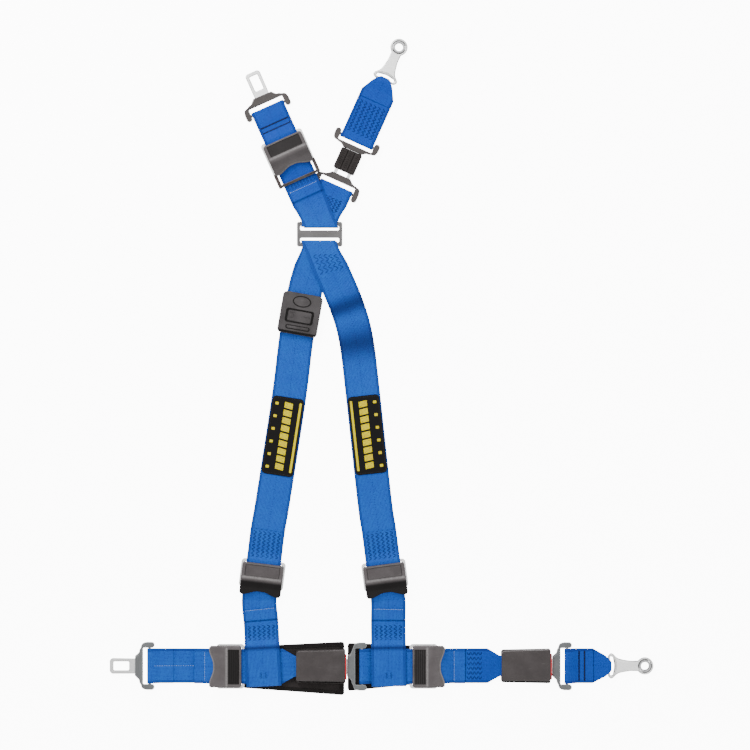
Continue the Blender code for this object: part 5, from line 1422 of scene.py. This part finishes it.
def patchSet(side):
    (ax, ay), (bx, by) = shoulders[side]["points"][-2:]
    share = shoulders[side]["patchShare"]
    x, y = ax + (bx - ax) * share, ay + (by - ay) * share
    turn = math.degrees(math.atan2(by - ay, bx - ax))
    low = tapeThick + gap
    at = (x, y, 0.0)
    long, half, top = patch["length"] / 2, patch["width"] / 2, low + patch["thick"]
    solid = block(sides(-long, long, half, patch["corner"]), low, top, 0.55, at=at, turn=turn, step=2.0)
    made = piece("patch_" + side + "_rubber", solid, "harness", "rubber", ("patch_" + side,))
    way = 1.0 if side == "left" else -1.0   # the stripe lies on the side towards the other strap
    solids = [block(sides(-long + 6.0, long - 6.0, 1.65, 1.2, way * (half - 4.6)), top - 0.2, top + 0.3, 0.25,
                    at=at, turn=turn, step=2.0)]
    count, span = 9, 100.0
    pace = span / count
    for k in range(count):
        u = -span / 2 + k * pace + 0.2
        slant = [(u, way * -4.4, 0.5), (u + pace * 0.76, way * -4.4, 0.5),
                 (u + pace * 0.76 + 1.6, way * 7.6, 0.5), (u + 1.6, way * 7.6, 0.5)]
        solids.append(block(slant, top - 0.2, top + 0.3, 0.22, at=at, turn=turn, step=2.5))
    for k in range(6):
        u = -48.0 + k * 18.4
        solids.append(block(sides(u, u + 4.0, 2.4, 1.0, way * -(half - 7.4)), top - 0.2, top + 0.25, 0.2, at=at,
                            turn=turn, step=1.6))
    piece("patch_" + side + "_bars", joined(solids), "harness", "yellow")
    edge = even(rounded(sides(-long + 2.2, long - 2.2, half - 2.2, patch["corner"] - 2.0)), 1.3)
    edge = level(edge, top)
    a, b = edge[::2][:len(edge) // 2], edge[1::2][:len(edge) // 2]
    ends = [spun(points, turn) + at for points in (a, b)]
    piece("patch_" + side + "_stitch", grains(*ends, 0.22), "harness", "greyThread")


def padSet(name, points):
    # a thin pad: its top swells between the sewn rows and its rim is pulled in by a tape
    outline = even(rounded([(x, y, pad["corner"]) for x, y in points]), 2.4)
    middle = (outline.min(0) + outline.max(0)) / 2
    shares = np.concatenate([[0.0, 0.01], np.linspace(0.03, 0.97, 40)])
    rings = []
    for share in shares[::-1]:
        ring = middle + (inset(outline, pad["rim"]) - middle) * (1 - share)
        rings.append(level(ring, pad["under"]))
    wall = [(1.1, 0.6), (0.9, 1.2), (0.9, 1.7), (1.2, 2.1)]
    rings += [level(inset(outline, d), z) for d, z in wall]
    for share in shares:
        ring = middle + (inset(outline, pad["rim"]) - middle) * (1 - share)
        distance = np.minimum(share * 60.0, 8.0) / 8.0
        quilt = pad["quilt"] * np.sin(ring[:, 0] / 9.0 + ring[:, 1] / 31.0) * np.sin(ring[:, 1] / 7.5 + 0.6)
        swell = pad["swell"] * np.sin(distance * math.pi / 2)
        rings.append(np.column_stack([ring, pad["rise"] + swell + quilt * distance]))
    body = bodyOf(name)
    made = piece(name + "_cloth", ringSolid(lay(np.array(rings))), body, "pad", (name,))
    # the tape: a flat U folded over the rim, from 6.5 mm inside on top to the same below
    t = pad["tape"]
    profile = [(t, 2.72), (t, 3.02), (t * 0.5, 3.06), (1.2, 3.0), (0.45, 2.6), (0.12, 1.5), (0.45, 0.45),
               (1.2, 0.06), (t, 0.02), (t, 0.3)]
    profile += [(1.6, 0.34), (1.0, 0.8), (0.95, 1.5), (1.0, 2.2), (1.6, 2.66)]
    corners = np.array([level(inset(outline, d), z) for d, z in profile])
    rings = corners.transpose(1, 0, 2)
    walked = np.concatenate([[0.0], np.cumsum(np.linalg.norm(np.diff(outline, axis=0), axis=1))])
    across, walked = np.meshgrid(np.arange(len(profile)) * 1.0, walked)
    uv = np.stack([across, walked], -1)
    piece(name + "_tape", ringSolid(lay(rings), loop=True), body, "tape", (), uv.reshape(-1, 2) * mm)
    edge = even(inset(outline, t - pad["sewnAt"]), 1.6)
    edge = level(edge, pad["sewnZ"])
    half = len(edge) // 2
    piece(name + "_stitch", grains(edge[0::2][:half], edge[1::2][:half], 0.2), body, "greyThread")


for side in ("left", "right"):
    patchSet(side)
padSet("pad_left", ((-200.0, -401.7), (-53.5, -394.5), (-53.5, -472.3), (-200.0, -461.6)))
padSet("pad_right", ((-49.0, -396.4), (43.7, -399.9), (43.7, -456.9), (-49.0, -466.1)))
print("patches and pads made")


# floor, light and camera

# lamps: place, size in metres and power in watts
studio = {"floorZ": -0.5, "floorSize": 6.0, "lens": 100.0, "sensor": 36.0, "height": 3.004,
          "centre": (-9.5, -11.4), "glow": 10.0, "sentOn": 0.15, "paper": (0.93, 0.96),
          "lamps": {"key": ((-1.1, 1.5, 1.6), 0.9, 52.0), "fill": ((1.4, -0.6, 1.8), 1.8, 8.0),
                    "top": ((0.1, 0.3, 2.6), 1.6, 14.0)}}


def grey(value):
    return (value, value, value, 1.0)


def makeStudio():
    mesh = bpy.data.meshes.new("floor")
    h, z = studio["floorSize"] / 2, studio["floorZ"] * mm
    mesh.from_pydata([(-h, -h, z), (h, -h, z), (h, h, z), (-h, h, z)], [], [(0, 1, 2, 3)])
    paper = Finish("paper", {"Roughness": 0.9, "Specular IOR Level": 0.1, "Emission Strength": studio["glow"]})
    grain = paper.noise(paper.node("TexCoord", out="Object"), 300.0, 2.0)
    paper.set(colour=paper.mix(grain, *(grey(value) for value in studio["paper"])))
    # the paper glows for the camera and sends much less of its glow to the object
    glow = paper.mix(paper.node("LightPath"), grey(studio["sentOn"]), grey(1.0))
    paper.feed(paper.shader.inputs["Emission Color"], glow)
    mesh.materials.append(paper.material)
    floor = link("floor", mesh)
    world = bpy.data.worlds.new("studio")
    world.use_nodes = True
    sky = world.node_tree.nodes["Background"]
    sky.inputs["Color"].default_value = grey(1.0)
    sky.inputs["Strength"].default_value = 1.0
    bpy.context.scene.world = world
    for name, (place, size, power) in studio["lamps"].items():
        lamp = bpy.data.lights.new(name, "AREA")
        lamp.size, lamp.energy = size, power
        made = link(name, lamp)
        made.location = place
        made.rotation_euler = (-made.location).to_track_quat("-Z", "Y").to_euler()
    camera = bpy.data.cameras.new("camera")
    camera.lens, camera.sensor_width = studio["lens"], studio["sensor"]
    made = link("camera", camera)
    made.location = (studio["centre"][0] * mm, studio["centre"][1] * mm, studio["height"])
    bpy.context.scene.camera = made


makeStudio()
